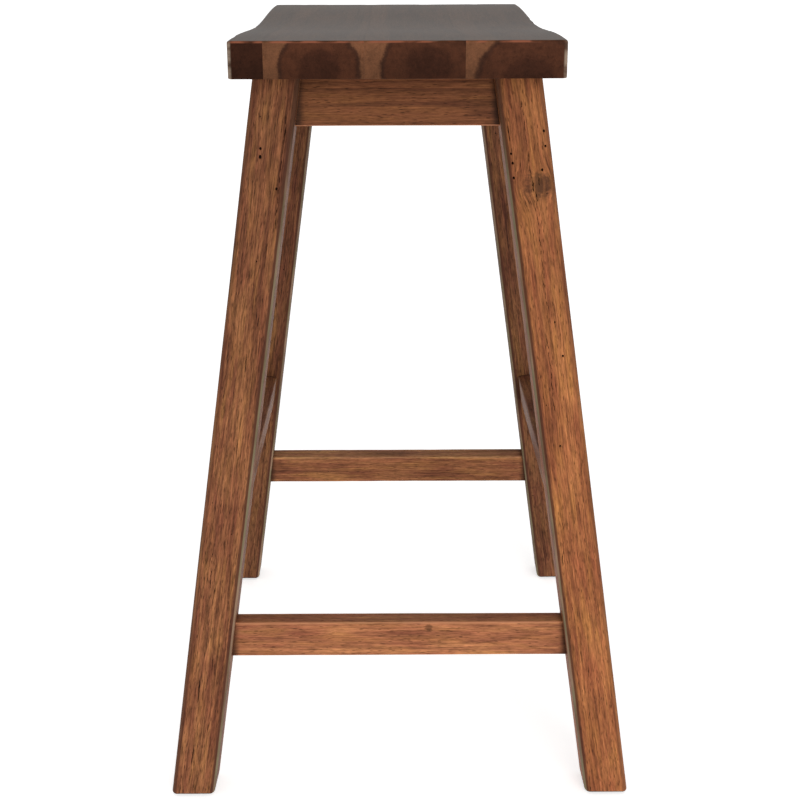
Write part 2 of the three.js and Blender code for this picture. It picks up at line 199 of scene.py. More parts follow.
def loft(name, rings, matrix):
    """A closed piece through rings of equal length, with a flat cap of small rings at each end."""
    first = [rings[0].mean(0) + (rings[0] - rings[0].mean(0)) * scale for scale in CAP_SCALES]
    last = [rings[-1].mean(0) + (rings[-1] - rings[-1].mean(0)) * scale for scale in CAP_SCALES]
    rows = first + list(rings) + last[::-1]
    count = len(rows[0])
    vertices = np.concatenate(rows + [rows[0].mean(0)[None], rows[-1].mean(0)[None]])
    here = np.arange(count)
    after = (here + 1) % count
    starts = np.arange(len(rows) - 1)[:, None] * count
    quads = np.stack((starts + here, starts + after, starts + count + after, starts + count + here), -1)
    faces = quads.reshape(-1, 4).tolist()
    foot_point, top_point = len(vertices) - 2, len(vertices) - 1
    top_row = (len(rows) - 1) * count
    faces += [[foot_point, a, b] for a, b in zip(after.tolist(), here.tolist())]
    faces += [[top_point, top_row + a, top_row + b] for a, b in zip(here.tolist(), after.tolist())]
    mesh = bpy.data.meshes.new(name)
    mesh.from_pydata(vertices.tolist(), [], faces)
    mesh.validate()
    piece = bpy.data.objects.new(name, mesh)
    piece.matrix_world = matrix
    bpy.context.collection.objects.link(piece)
    return piece


# %% [markdown]
# ## Wear that can be felt
#
# A planed and brushed bar is never quite flat. Smooth random fields push its surface in and out by
# tenths of a millimetre: long shallow waves from the plane, narrow furrows where a wire brush took
# the soft grain, and knocks along the edges. Noise textures with a Displace modifier could do this.
# A field written in numpy is used, because the same numbers can follow the bar's own directions.

# %% Smooth random fields
FIELD_TABLE = 4096
FIELD_KEYS = (73856093, 19349663, 83492791)


def field(points, sizes, seed):
    """Smooth random values from -1 to 1 at points, with features of the given sizes."""
    table = np.random.default_rng(seed).uniform(-1, 1, FIELD_TABLE)
    scaled = points / np.array(sizes)
    cell = np.floor(scaled).astype(np.int64)
    part = scaled - cell
    part = part * part * (3 - 2 * part)
    total = np.zeros(len(points))
    for corner in np.ndindex(2, 2, 2):
        at = cell + corner
        key = at[:, 0] * FIELD_KEYS[0] ^ at[:, 1] * FIELD_KEYS[1] ^ at[:, 2] * FIELD_KEYS[2]
        weight = np.where(corner, part, 1 - part).prod(1)
        total += table[key % FIELD_TABLE] * weight
    return total


PLANE_WAVE, PLANE_SIZES = 0.12 * MM, (90 * MM, 14 * MM, 14 * MM)
BRUSH_FURROW, BRUSH_SIZES = 0.09 * MM, (42 * MM, 2.3 * MM, 2.3 * MM)
EDGE_KNOCK, KNOCK_SIZES = 0.55 * MM, (17 * MM, 9 * MM, 9 * MM)
KNOCK_START = 0.15


def weather(ring, outwards, seed, brush=1.0, knocks=1.0):
    """Moves a ring's points in and out, as planing, brushing and years of use do."""
    cornered = np.clip(2 * abs(outwards[:, 0] * outwards[:, 1]), 0, 1)
    wave = field(ring, PLANE_SIZES, seed) * PLANE_WAVE
    furrow = field(ring, BRUSH_SIZES, seed + 1) * BRUSH_FURROW * brush
    knock = np.clip(field(ring, KNOCK_SIZES, seed + 2) - KNOCK_START, 0, 1)
    push = wave + furrow * (1 - cornered) - knock * cornered * EDGE_KNOCK * knocks
    moved = ring.copy()
    moved[:, 1:] += outwards * push[:, None]
    return moved


# %% [markdown]
# ## Cracks, worm holes and mortises
#
# Drying cracks, called checks, are long thin slots along the grain. Beetles leave round holes as
# wide as a match. Both are cut into the mesh, because painted ones look flat from the side. A check's
# cutter is a lens-shaped wedge, and a worm hole's is a slightly bent peg, drawn out along the grain.
# The Boolean modifier's Manifold solver takes them all out at once, quickly even on dense meshes.

# %% Cutters
CHECK_STANDS_OUT = 0.6 * MM
CHECK_END = 0.08
WORM_STRETCH = 1.45
WORM_END = 0.62


def tube(sections):
    """Vertices and faces of a closed tube through sections of equal length."""
    count = len(sections[0])
    vertices = np.concatenate(sections)
    faces = []
    for row in range(len(sections) - 1):
        for here in range(count):
            after = (here + 1) % count
            a, b = row * count + here, row * count + after
            faces.append((a, b, b + count, a + count))
    faces.append(tuple(range(count))[::-1])
    top = (len(sections) - 1) * count
    faces.append(tuple(top + here for here in range(count)))
    return vertices, faces


def check_wedge(length, width, depth, bend, steps=12):
    """A wedge along X that enters the wood at z = 0 and goes down."""
    sections = []
    for share in np.linspace(-1, 1, steps + 1):
        full = max(math.sqrt(1 - share * share), CHECK_END)
        half = width / 2 * full * (1 + 0.3 * math.sin(7 * share + 1e3 * bend))
        down = depth * full
        side = bend * math.sin(1.7 * share) + 0.16 * width * math.sin(11 * share)
        across = np.array((-1.3, 1.3, 1, 0.3, -0.3, -1)) * half + side
        rise = np.array((CHECK_STANDS_OUT, CHECK_STANDS_OUT, 0, -down, -down, 0))
        sections.append(np.column_stack((np.full(6, share * length / 2), across, rise)))
    return tube(sections)


def worm_peg(radius, depth, slant, sides=10):
    """A peg that enters the wood at z = 0, a little slanted and bent, and longer along the grain."""
    turn = np.arange(sides) / sides * 2 * math.pi
    sections = []
    for share in (-0.3, 0, 0.35, 0.7, 1):
        wide = radius * (WORM_END if share == 1 else 1)
        x = np.cos(turn) * wide * WORM_STRETCH + slant * share * depth
        y = np.sin(turn) * wide + slant * share * share * depth * 0.5
        sections.append(np.column_stack((x, y, np.full(sides, -share * depth))))
    return tube(sections[::-1])


def on_face(solid, along, across, way, half):
    """Turns a cutter from lying on z = 0 to lying on one face of a bar."""
    vertices, faces = solid
    inward_y, inward_z = way
    x = vertices[:, 0] + along
    y = vertices[:, 1] * inward_z + (vertices[:, 2] + half) * inward_y + across * inward_z
    z = -vertices[:, 1] * inward_y + (vertices[:, 2] + half) * inward_z + across * inward_y
    return np.column_stack((x, y, z)), faces


def closed_piece(name, vertices, faces, matrix):
    """A piece from a closed skin of faces, which are all made to look outward."""
    mesh = bpy.data.meshes.new(name)
    mesh.from_pydata(vertices, [], faces)
    shape = bmesh.new()
    shape.from_mesh(mesh)
    bmesh.ops.recalc_face_normals(shape, faces=shape.faces)
    shape.to_mesh(mesh)
    shape.free()
    piece = bpy.data.objects.new(name, mesh)
    piece.matrix_world = matrix
    bpy.context.collection.objects.link(piece)
    return piece


def cutter_object(solids, matrix):
    """One object made of several separate cutters."""
    vertices, faces = [], []
    for points, loops in solids:
        faces += [tuple(index + len(vertices) for index in loop) for loop in loops]
        vertices += points.tolist()
    return closed_piece("cutter", vertices, faces, matrix)


def settle(piece):
    """Applies the piece's modifiers to its mesh."""
    graph = bpy.context.evaluated_depsgraph_get()
    mesh = bpy.data.meshes.new_from_object(piece.evaluated_get(graph))
    old = piece.data
    piece.modifiers.clear()
    piece.data = mesh
    bpy.data.meshes.remove(old)
    mesh.name = piece.name


def carve(piece, cutter, operation="DIFFERENCE"):
    """Cuts a piece with a cutter object, which is then thrown away."""
    boolean = piece.modifiers.new("carve", "BOOLEAN")
    boolean.operation = operation
    boolean.solver = "MANIFOLD"
    boolean.object = cutter
    before = len(piece.data.vertices)
    settle(piece)
    if len(piece.data.vertices) < 8:
        raise RuntimeError(f"carving {piece.name} left {len(piece.data.vertices)} of {before} vertices")
    bpy.data.objects.remove(cutter)


def shade(piece, sharp_degrees=34):
    """Smooth shading, with hard creases only where faces meet at a steep angle."""
    mesh = piece.data
    mesh.shade_smooth()
    mesh.set_sharp_from_angle(angle=math.radians(sharp_degrees))


# %% [markdown]
# ## Legs
#
# The legs are 35 mm square with hand-rounded edges. They splay both ways, and both ends are sawn
# level, so the foot is a slightly long rhombus. Its rim is eased so that it won't splinter when the
# stool is dragged. The loft follows that: the lowest rings grow from a small outline to the full one.
# The wood comes a little lower than in the frame, round a thin glide that sits in a shallow room.

# %% Leg blanks
LEG_RADIUS = 4 * MM
FOOT_EASE = 3.4 * MM
FOOT_LIP = 1.5 * MM
EASE_STEPS = 6
FACE_STEPS = 26
RING_STEP = 2.1 * MM
TOP_EASE = 0.5 * MM
LEAST_RADIUS = 0.6 * MM


def level_plane(matrix, height):
    """A level plane, as seen from a piece's own directions."""
    way = matrix.to_3x3().transposed() @ UP
    return ((height - matrix.translation.z) / way.x, -way.y / way.x, -way.z / way.x)


def raised(plane, rise):
    """The same plane, moved along X."""
    return (plane[0] + rise, plane[1], plane[2])


def leg_blank(name, leg, seed):
    """A weathered leg without joints, and its length."""
    foot_plane = level_plane(leg["matrix"], leg["low"] - FOOT_LIP)
    top_plane = level_plane(leg["matrix"], leg["high"])
    length = top_plane[0] - foot_plane[0]
    stations = []
    for step in range(EASE_STEPS):
        angle = math.pi / 2 * step / EASE_STEPS
        stations.append((FOOT_EASE * (1 - math.cos(angle)), FOOT_EASE * (1 - math.sin(angle))))
    body = length - FOOT_EASE - TOP_EASE
    steps = round(body / RING_STEP)
    stations += [(FOOT_EASE + body * step / steps, 0) for step in range(steps + 1)]
    stations.append((length, TOP_EASE))
    rings = []
    for rise, inset in stations:
        half = leg["half"] - inset
        radius = max(LEG_RADIUS - inset, LEAST_RADIUS)
        outline, outwards = rounded_outline(half, half, radius, FACE_STEPS, FACE_STEPS)
        share = rise / length
        plane = np.array(raised(foot_plane, rise)) * (1 - share)
        plane += np.array(raised(top_plane, rise - length)) * share
        rings.append(weather(on_plane(outline, plane), outwards, seed))
    return loft(name, rings, leg["matrix"]), length


# %% [markdown]
# Some marks are worth listing one by one, since they make each leg its own: a pair of worm holes high
# on one leg, a split that wanders down from a knot on another. The rest are strewn at random, with
# a fixed seed, so the stool comes out the same each time.

# %% Marks on the legs
# Each check: face (outward Y, outward Z), millimetres above the foot, across, length and width.
CHECKS_BY_HAND = {
    ("right", "front"): [
        ((1, 0), 176, -1.8, 22, 0.7), ((1, 0), 92, -5, 24, 0.9), ((1, 0), 34, -4, 18, 0.8),
        ((1, 0), 118, 3.4, 12, 0.5), ((1, 0), 543, 11.6, 14, 0.6), ((1, 0), 300, 3, 15, 0.5),
        ((1, 0), 402, 8, 11, 0.5), ((1, 0), 250, -4, 13, 0.5), ((1, 0), 61, 6, 9, 0.5),
    ],
    ("right", "back"): [
        ((1, 0), 503, 0.6, 9, 0.9), ((1, 0), 495, 2.2, 8, 0.8), ((1, 0), 506, 5.4, 7, 0.7),
        ((1, 0), 545, -12.6, 15, 0.7), ((1, 0), 207, -12, 12, 0.6), ((1, 0), 322, 5, 10, 0.5),
    ],
}
# Each worm hole: face, millimetres above the foot, across and radius.
WORMS_BY_HAND = {
    ("right", "front"): [((1, 0), 524.8, -4.8, 1.1), ((1, 0), 530.9, -5.2, 0.9), ((1, 0), 503, 10, 0.9)],
    ("right", "back"): [
        ((1, 0), 529, -12.7, 0.8), ((1, 0), 522, -12.4, 0.9), ((1, 0), 511, -12.9, 0.9),
        ((1, 0), 542, 13.4, 0.9), ((1, 0), 531, 13.2, 0.8), ((1, 0), 514, 8.8, 0.9),
        ((1, 0), 398, 4.5, 0.7), ((1, 0), 371, 7.5, 0.8), ((1, 0), 300, -3, 0.8),
    ],
}
# Each split: leg, then height and across where it starts and where it ends, as a row of fine checks.
SPLITS = {
    ("right", "back"): [(566, -0.6, 512, 0.2), (492, 1.6, 404, -0.4), (388, -2.6, 330, -4.0)],
    ("right", "front"): [(560, 10.5, 470, 12.5), (212, -6.5, 150, -3.5)],
}
FACES = ((1, 0), (-1, 0), (0, 1), (0, -1))
CLEAR = 4 * MM
WORM_ROOM = 2 * MM
WORM_DEPTH = 2.4 * MM
WORM_SLANT = 0.5
STREWN_BEND = 0.35 * MM
STREWN_DEPTH = 2.2


def strewn_marks(random, halves, start, length, checks, worms, taken):
    """Random checks and worm holes on all faces of a bar, clear of each other and of its ends."""
    marks = []
    while len(marks) < checks + worms:
        way = FACES[random.integers(4)]
        is_check = len(marks) < checks
        size = random.uniform(7, 20) * MM if is_check else WORM_ROOM
        along = start + random.uniform(0.06, 0.94) * length
        half, room = halves if way[0] else halves[::-1]
        across = random.uniform(-0.68, 0.68) * room
        width = random.uniform(0.35, 0.7) * MM
        draws = random.uniform(-1, 1, 2)
        near = any(
            way == other and abs(along - at) < (size + long) / 2 + CLEAR and abs(across - off) < CLEAR
            for other, at, off, long in taken
        )
        if near:
            continue
        taken.append((way, along, across, size))
        if is_check:
            solid = check_wedge(size, width, width * STREWN_DEPTH, STREWN_BEND * draws[0])
        else:
            solid = worm_peg(width * 0.8, WORM_DEPTH, WORM_SLANT * draws[1])
        marks.append(on_face(solid, along, across, way, half))
    return marks


def split(random, start, start_across, stop, stop_across):
    """A long broken split: short fine checks, end to end with small gaps."""
    along = start
    while along > stop + 4:
        length = random.uniform(4, 11)
        middle = along - length / 2
        share = (start - middle) / (start - stop)
        across = start_across + (stop_across - start_across) * share + random.uniform(-0.35, 0.35)
        yield (1, 0), middle, across, length, random.uniform(0.35, 0.62)
        along -= length + random.uniform(0.8, 3.5)


HAND_BENDS = (-0.25, 0.22)
HAND_DEPTH = 2
HAND_WORM_DEPTH = 2.6 * MM
HAND_WORM_SLANT = 0.6


def marks_by_hand(corner, half, random):
    """A leg's own checks, splits and worm holes, and the places they take."""
    marks, taken = [], []
    checks = list(CHECKS_BY_HAND.get(corner, ()))
    for line in SPLITS.get(corner, ()):
        checks += split(random, *line)
    for index, (way, along, across, length, width) in enumerate(checks):
        bend = HAND_BENDS[index % 2] * MM
        solid = check_wedge(length * MM, width * MM, width * HAND_DEPTH * MM, bend)
        marks.append(on_face(solid, along * MM, across * MM, way, half))
        taken.append((way, along * MM, across * MM, length * MM))
    for way, along, across, radius in WORMS_BY_HAND.get(corner, ()):
        solid = worm_peg(radius * MM, HAND_WORM_DEPTH, HAND_WORM_SLANT)
        marks.append(on_face(solid, along * MM, across * MM, way, half))
        taken.append((way, along * MM, across * MM, WORM_ROOM))
    return marks, taken


# %% Make the legs
CHECKS_PER_LEG = 14
WORMS_PER_LEG = 10
LEG_SEEDS = {corner: 11 + 10 * index for index, corner in enumerate(CORNERS)}
pieces = {}
for (end, side), leg in legs.items():
    name = f"leg_{end}_{side}_timber"
    seed = LEG_SEEDS[end, side]
    piece, length = leg_blank(name, leg, seed)
    random = np.random.default_rng(seed)
    marks, taken = marks_by_hand((end, side), leg["half"], random)
    halves = (leg["half"], leg["half"])
    marks += strewn_marks(random, halves, 0, length, CHECKS_PER_LEG, WORMS_PER_LEG, taken)
    carve(piece, cutter_object(marks, leg["matrix"]))
    pieces[f"leg_{end}_{side}"] = piece
    print(name, len(piece.data.vertices), "vertices,", len(marks), "marks, length", round(length / MM))

# %% [markdown]
# ## Rails
#
# Aprons, low stretchers and high footrests are the same kind of piece: a bar between two legs, with
# a stub tenon at each end. Each lies in the slope of its own frame, so its shoulders are cut to the
# legs' slanting faces. In the loft the shoulder is easy: the outline shrinks to the tenon's outline
# on the shoulder's plane, and then the tenon runs on into the leg.

# %% Measure a rail
def leg_face(leg, matrix):
    """The plane of the leg's face that looks at a rail, in the rail's own directions."""
    towards = matrix.translation - leg["foot"]
    towards -= leg["along"] * towards.dot(leg["along"])
    level = towards.dot(matrix.to_3x3().col[0]) * matrix.to_3x3().col[0]
    ways = [leg["outward"], leg["along"].cross(leg["outward"])]
    face = max((way * sign for way in ways for sign in (1, -1)), key=lambda way: way.dot(level))
    start = leg["half"] - face.dot(matrix.translation - leg["foot"])
    slopes = [face.dot(matrix.to_3x3().col[axis]) for axis in range(3)]
    return (start / slopes[0], -slopes[1] / slopes[0], -slopes[2] / slopes[0]), face


def rail_facts(name, first, second):
    """Where a rail lies, how large it is, and its tenons."""
    points = cad_points(name)
    between = (legs[second]["foot"] - legs[first]["foot"]).normalized()
    up = legs[first]["along"] - between * legs[first]["along"].dot(between)
    up.normalize()
    outward = between.cross(up)
    middle = (legs[first]["foot"] + legs[second]["foot"]) / 2
    if outward.dot(Vector((middle.x, middle.y, 0))) < 0:
        outward = -outward
    origin = Vector((0, 0, 0))
    low, high = reach(points, origin, up)
    back, face = reach(points, origin, outward)
    along = up.cross(outward)
    ends = reach(points, origin, along)
    place = up * (low + high) / 2 + outward * (back + face) / 2 + along * (ends[0] + ends[1]) / 2
    return {
        "matrix": placed(place, along, up), "points": points, "between": (first, second),
        "half_height": (high - low) / 2, "half_thick": (face - back) / 2,
    }


def tenon_outline(rail, plane, sign):
    """Reach of a rail's tenon past its shoulder plane, and the tenon's section."""
    local = (rail["points"] - np.array(rail["matrix"].translation)) @ np.array(rail["matrix"].to_3x3())
    past = (local[:, 0] - plane[0] - local[:, 1:] @ np.array(plane[1:])) * sign
    tip = local[past > past.max() - 0.5 * MM]
    low, high = tip[:, 1:].min(0), tip[:, 1:].max(0)
    return past.max(), (low + high) / 2, (high - low) / 2


# %% Make the rails
RAIL_STEP = 2.4 * MM
RAIL_STRIP = 1.5 * MM
APRON_RADIUS = 1.2 * MM
FOOT_RAIL_RADIUS = 1.5 * MM
TENON_RADIUS = 0.6 * MM
JOINT_AIR = 0.3 * MM
CHECKS_PER_RAIL = 3
WORMS_PER_RAIL = 2
RAIL_SEED = 101
RAILS = {}
for end in ENDS:
    for kind in ("apron", "stretcher"):
        RAILS[f"{kind}_{end}"] = ((end, "back"), (end, "front"))
for side in SIDES:
    for kind in ("apron", "footrest"):
        RAILS[f"{kind}_{side}"] = (("right", side), ("left", side))


def top_shear(outline, half, slope):
    """Slants the top of an outline, so that a leaning rail's top can be level."""
    share = np.clip((outline[:, 0] + half) / (2 * half), 0, 1)
    return np.column_stack((outline[:, 0] + slope * outline[:, 1] * share, outline[:, 1]))


def rail_blank(name, rail, radius, seed, sawn_level):
    """A weathered rail with its tenons."""
    half_y, half_z = rail["half_height"], rail["half_thick"]
    matrix = rail["matrix"]
    slope = 0.0
    if sawn_level:
        way = matrix.to_3x3().transposed() @ UP
        slope = -way.z / way.y
        half_y -= abs(slope) * half_z / 2
        matrix.translation -= matrix.to_3x3().col[1] * abs(slope) * half_z / 2
    planes = [leg_face(legs[corner], matrix)[0] for corner in rail["between"]]
    planes.sort(key=lambda plane: plane[0])
    steps = (round(2 * half_y / RAIL_STRIP), round(2 * half_z / RAIL_STRIP))
    outline, outwards = rounded_outline(half_y, half_z, radius, *steps)
    outline = top_shear(outline, half_y, slope)
    tenons = []
    for plane, sign in zip(planes, (-1, 1)):
        depth, middle, half = tenon_outline(rail, plane, sign)
        section = rounded_outline(half[0], half[1], TENON_RADIUS, *steps)[0] + middle
        shoulder = on_plane(section, plane)
        tenons.append([on_plane(section, raised(plane, sign * depth)), shoulder])
        rail.setdefault("mortises", []).append((middle, half, plane, sign, depth))
    length = planes[1][0] - planes[0][0]
    count = round(length / RAIL_STEP)
    body = []
    for step in range(count + 1):
        share = step / count
        plane = np.array(planes[0]) * (1 - share) + np.array(planes[1]) * share
        body.append(weather(on_plane(outline, plane), outwards, seed, brush=0.8, knocks=0.6))
    return loft(name, tenons[0] + body + tenons[1][::-1], matrix), length


for index, (name, between) in enumerate(RAILS.items()):
    rail = rail_facts(name, *between)
    is_apron = name.startswith("apron")
    rail["radius"] = APRON_RADIUS if is_apron else FOOT_RAIL_RADIUS
    seed = RAIL_SEED + 10 * index
    piece, length = rail_blank(f"{name}_timber", rail, rail["radius"], seed, is_apron)
    if not is_apron:
        random = np.random.default_rng(seed)
        halves = (rail["half_height"], rail["half_thick"])
        marks = strewn_marks(random, halves, -length / 2, length, CHECKS_PER_RAIL, WORMS_PER_RAIL, [])
        carve(piece, cutter_object(marks, rail["matrix"]))
    shade(piece)
    pieces[name] = piece
    rail["half_length"] = length / 2
    RAILS[name] = rail
    print(name, len(piece.data.vertices), "vertices, length", round(length / MM))

# %% [markdown]
# A mortise is the pocket that a tenon sits in. Each is cut from the same numbers as its tenon, with
# a little air for glue, so the two always fit. Each foot also gets a shallow round room for its
# glide, and a hole for the nail that holds it.

# %% Mortises and nail holes
CUT_PAST = 2 * MM
NAIL_HOLE = 1.3 * MM
NAIL_SIDES = 16
GLIDE_SIDES = 48


def boxed(low, high, planes):
    """A box between two planes across X, with the given corners in Y and Z."""
    outline = np.array([(low[0], low[1]), (high[0], low[1]), (high[0], high[1]), (low[0], high[1])])
    return tube([on_plane(outline, plane) for plane in planes])


for rail in RAILS.values():
    for corner in rail["between"]:
        leg_x = rail["matrix"].inverted() @ legs[corner]["matrix"].translation
        for middle, half, plane, sign, depth in rail["mortises"]:
            if leg_x.x * sign < 0:
                continue
            grown = half + JOINT_AIR
            span = [raised(plane, -sign * CUT_PAST), raised(plane, sign * (depth + JOINT_AIR))]
            room = boxed(middle - grown, middle + grown, span)
            carve(pieces[f"leg_{corner[0]}_{corner[1]}"], cutter_object([room], rail["matrix"]))


def drilled(middle, radius, top, steps):
    """An upright round cutter, from under the floor to a height."""
    turn = np.arange(steps) / steps * 2 * math.pi
    ring = np.column_stack((np.cos(turn), np.sin(turn))) * radius + middle[:2]
    return tube([np.column_stack((ring, np.full(steps, height))) for height in (-CUT_PAST, top)])


for end, side in CORNERS:
    leg = pieces[f"leg_{end}_{side}"]
    nail = cad_points(f"glide_nail_{end}_{side}")
    middle = (nail.min(0) + nail.max(0)) / 2
    hole = drilled(middle, NAIL_HOLE, nail[:, 2].max() + JOINT_AIR, NAIL_SIDES)
    glide = cad_points(f"glide_{end}_{side}")
    radius = (glide[:, 0].max() - glide[:, 0].min()) / 2 + JOINT_AIR
    room = drilled(middle, radius, glide[:, 2].max(), GLIDE_SIDES)
    carve(leg, cutter_object([hole], Matrix()))
    carve(leg, cutter_object([room], Matrix()))
    shade(leg)
print("mortises cut:", sum(len(rail["mortises"]) for rail in RAILS.values()))

# %% [markdown]
# ## Seat
#
# The seat is glued up from three boards and a narrow strip, then shaped as one: its top dips in the
# middle like a saddle, and all its edges are eased. So the mesh is made the same way. One blank is
# shaped whole, and then ripped into its boards, which makes the edges run on from board to board.
#
# The blank's rim is a stack of outlines: bottom edge, side, top edge. Inside the rim, the top and
# the underside are grids, and their points are dropped onto the saddle's curve.

# %% The saddle's curve, read from the frame
PAST_SADDLE = 20 * MM
seat_points = np.concatenate([cad_points(name) for name in nodes if name.startswith("seat_b")
                              or name == "seat_strip"])
seat_low, seat_high = seat_points.min(0), seat_points.max(0)
top_points = seat_points[seat_points[:, 2] > (seat_low[2] + seat_high[2]) / 2]
saddle_dip = seat_high[2] - top_points[abs(top_points[:, 0]) < 1 * MM][:, 2].max()
bends = np.unique(np.round(abs(top_points[:, 0]), 5))
saddle_reach = bends[bends < seat_high[0] - PAST_SADDLE].max()


def saddle(x):
    """Height of the seat's top."""
    share = (1 + np.cos(np.pi * np.clip(x / saddle_reach, -1, 1))) / 2
    return seat_high[2] - saddle_dip * share


print("seat:", np.round((seat_high - seat_low) / MM, 1), "mm, dip", round(saddle_dip / MM, 2),
      "mm over", round(2 * saddle_reach / MM), "mm")

# %% Seat blank
SEAT_CORNER = 3.5 * MM
SEAT_SWELL = 0.8 * MM
SEAT_TOP_EASE = 1.8 * MM
SEAT_LOW_EASE = 0.9 * MM
RIM = 9 * MM
SEAT_GRID = 2.6 * MM
half_x, half_y = seat_high[0], seat_high[1] + SEAT_SWELL
grid_x = round(2 * (half_x - RIM) / SEAT_GRID)
grid_y = round(2 * (half_y - RIM) / SEAT_GRID)


def rim_ring(inset, height_of):
    """The seat's plan outline, drawn in by an inset, at the heights that height_of gives."""
    radius = max(SEAT_CORNER - inset, 0)
    plan, outwards = rounded_outline(half_x - inset, half_y - inset, radius, grid_x, grid_y)
    return np.column_stack((plan, height_of(plan[:, 0]))), outwards


def ease(radius, steps, share_of):
    """Inset and drop of each step round an eased edge."""
    for step in range(steps + 1):
        angle = math.pi / 2 * share_of(step / steps)
        yield radius * (1 - math.cos(angle)), radius * (1 - math.sin(angle))


def underside(x):
    """Height of the seat's flat underside."""
    return np.full_like(x, seat_low[2])


rings = [rim_ring(RIM, underside), rim_ring(RIM / 2, underside)]
for inset, drop in ease(SEAT_LOW_EASE, 3, lambda share: 1 - share):
    rings.append(rim_ring(inset, lambda x: underside(x) + drop))
for level in np.linspace(0.12, 0.86, 8):
    rings.append(rim_ring(0, lambda x: underside(x) * (1 - level) + saddle(x) * level))
for inset, drop in ease(SEAT_TOP_EASE, 5, lambda share: share):
    rings.append(rim_ring(inset, lambda x: saddle(x) - drop))
rings += [rim_ring(RIM / 2, saddle), rim_ring(RIM, saddle)]
FLAT_RINGS = 2

vertices = [ring for ring, outwards in rings]
count = len(vertices[0])
here = np.arange(count)
starts = np.arange(len(rings) - 1)[:, None] * count
after = (here + 1) % count
quads = np.stack((starts + here, starts + after, starts + count + after, starts + count + here), -1)
faces = quads.reshape(-1, 4).tolist()
start = len(rings) * count
lines_x = np.linspace(-half_x + RIM, half_x - RIM, grid_x + 1)
lines_y = np.linspace(-half_y + RIM, half_y - RIM, grid_y + 1)
for height_of, order in ((underside, -1), (saddle, 1)):
    x, y = (grid.ravel() for grid in np.meshgrid(lines_x, lines_y, indexing="ij"))
    vertices.append(np.column_stack((x, y, height_of(x))))
    for i in range(grid_x):
        base = start + i * (grid_y + 1) + np.arange(grid_y)
        cells = np.stack((base, base + grid_y + 1, base + grid_y + 2, base + 1), -1)
        faces += cells[:, ::order].tolist()
    start += len(x)
blank_points = np.concatenate(vertices)

# %% Weather and close the seat blank
WELD = 0.004 * MM
SEAT_WAVE, SEAT_WAVE_SIZES = 0.16 * MM, (70 * MM, 45 * MM, 30 * MM)
SEAT_KNOCK_SIZES, SEAT_KNOCK_START = (13 * MM, 13 * MM, 9 * MM), 0.3
SEAT_KNOCK_IN, SEAT_KNOCK_DOWN = 0.7 * MM, 0.5 * MM
TOP_EDGE_REACH = 3 * MM
SAW_RIPPLE, SAW_SIZES = 0.07 * MM, (5 * MM, 26 * MM, 1.6 * MM)
SEAT_SEED = 71
worn = blank_points.copy()
wave = field(blank_points, SEAT_WAVE_SIZES, SEAT_SEED) * SEAT_WAVE
near_end = np.clip(abs(blank_points[:, 0]) / half_x * 12 - 11, 0, 1)
knock = np.clip(field(blank_points, SEAT_KNOCK_SIZES, SEAT_SEED + 1) - SEAT_KNOCK_START, 0, 1)
rim_start, rim_stop = FLAT_RINGS * count, (len(rings) - FLAT_RINGS) * count
outward = np.zeros_like(blank_points)
outward[rim_start:rim_stop, :2] = np.concatenate([ways for ring, ways in rings[FLAT_RINGS:-FLAT_RINGS]])
top_edge = np.exp(-((blank_points[:, 2] - saddle(blank_points[:, 0])) / TOP_EDGE_REACH) ** 2)
on_rim = np.linalg.norm(outward, axis=1) > 0
edge_of = top_edge * on_rim
worn[:, 2] += wave * (blank_points[:, 2] > seat_low[2] + 12 * MM)
worn -= outward * (knock * edge_of * SEAT_KNOCK_IN)[:, None]
worn[:, 2] -= knock * edge_of * SEAT_KNOCK_DOWN
saw_ripple = (field(blank_points, SAW_SIZES, SEAT_SEED + 2) + 1) * SAW_RIPPLE
worn -= outward * (saw_ripple * near_end * on_rim)[:, None]

mesh = bpy.data.meshes.new("seat_blank")
mesh.from_pydata(worn.tolist(), [], faces)
shape = bmesh.new()
shape.from_mesh(mesh)
bmesh.ops.remove_doubles(shape, verts=shape.verts, dist=WELD)
bmesh.ops.recalc_face_normals(shape, faces=shape.faces)
open_edges = sum(not edge.is_manifold for edge in shape.edges)
shape.to_mesh(mesh)
shape.free()
blank = bpy.data.objects.new("seat_blank", mesh)
bpy.context.collection.objects.link(blank)
print("seat blank:", len(mesh.vertices), "vertices,", open_edges, "open edges")

# %% [markdown]
# Ripping is a Boolean with a tall box as wide as each board. The joints between boards are nearly
# shut: a hair of air is left, which reads as a fine glue line. The origin of each board goes to the
# board's own middle, because its heartwood is placed from there later.

# %% Rip the boards
GLUE_LINE = 0.05 * MM
PAST_SEAT = 50 * MM
BOARDS = ["seat_strip", "seat_board_1", "seat_board_2", "seat_board_3"]
edges = [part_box(name) for name in BOARDS]
bounds_y = [cad_box[0].y - PAST_SEAT]
for index in range(len(BOARDS) - 1):
    bounds_y.append((edges[index][1].y + edges[index + 1][0].y) / 2)
bounds_y.append(cad_box[1].y + PAST_SEAT)
for index, name in enumerate(BOARDS):
    board = blank.copy()
    board.data = blank.data.copy()
    board.name = f"{name}_timber"
    bpy.context.collection.objects.link(board)
    low, high = bounds_y[index] + GLUE_LINE / 2, bounds_y[index + 1] - GLUE_LINE / 2
    reach_x = 2 * half_x
    span = [(-reach_x, 0, 0), (reach_x, 0, 0)]
    slab = boxed((low, seat_low[2] - PAST_SEAT), (high, seat_high[2] + PAST_SEAT), span)
    carve(board, cutter_object([slab], Matrix()), "INTERSECT")
    middle = Vector((0, (edges[index][0].y + edges[index][1].y) / 2, (seat_low[2] + seat_high[2]) / 2))
    board.data.transform(Matrix.Translation(-middle))
    board.matrix_world = Matrix.Translation(middle)
    pieces[name] = board
    print(board.name, len(board.data.vertices), "vertices")
bpy.data.objects.remove(blank)

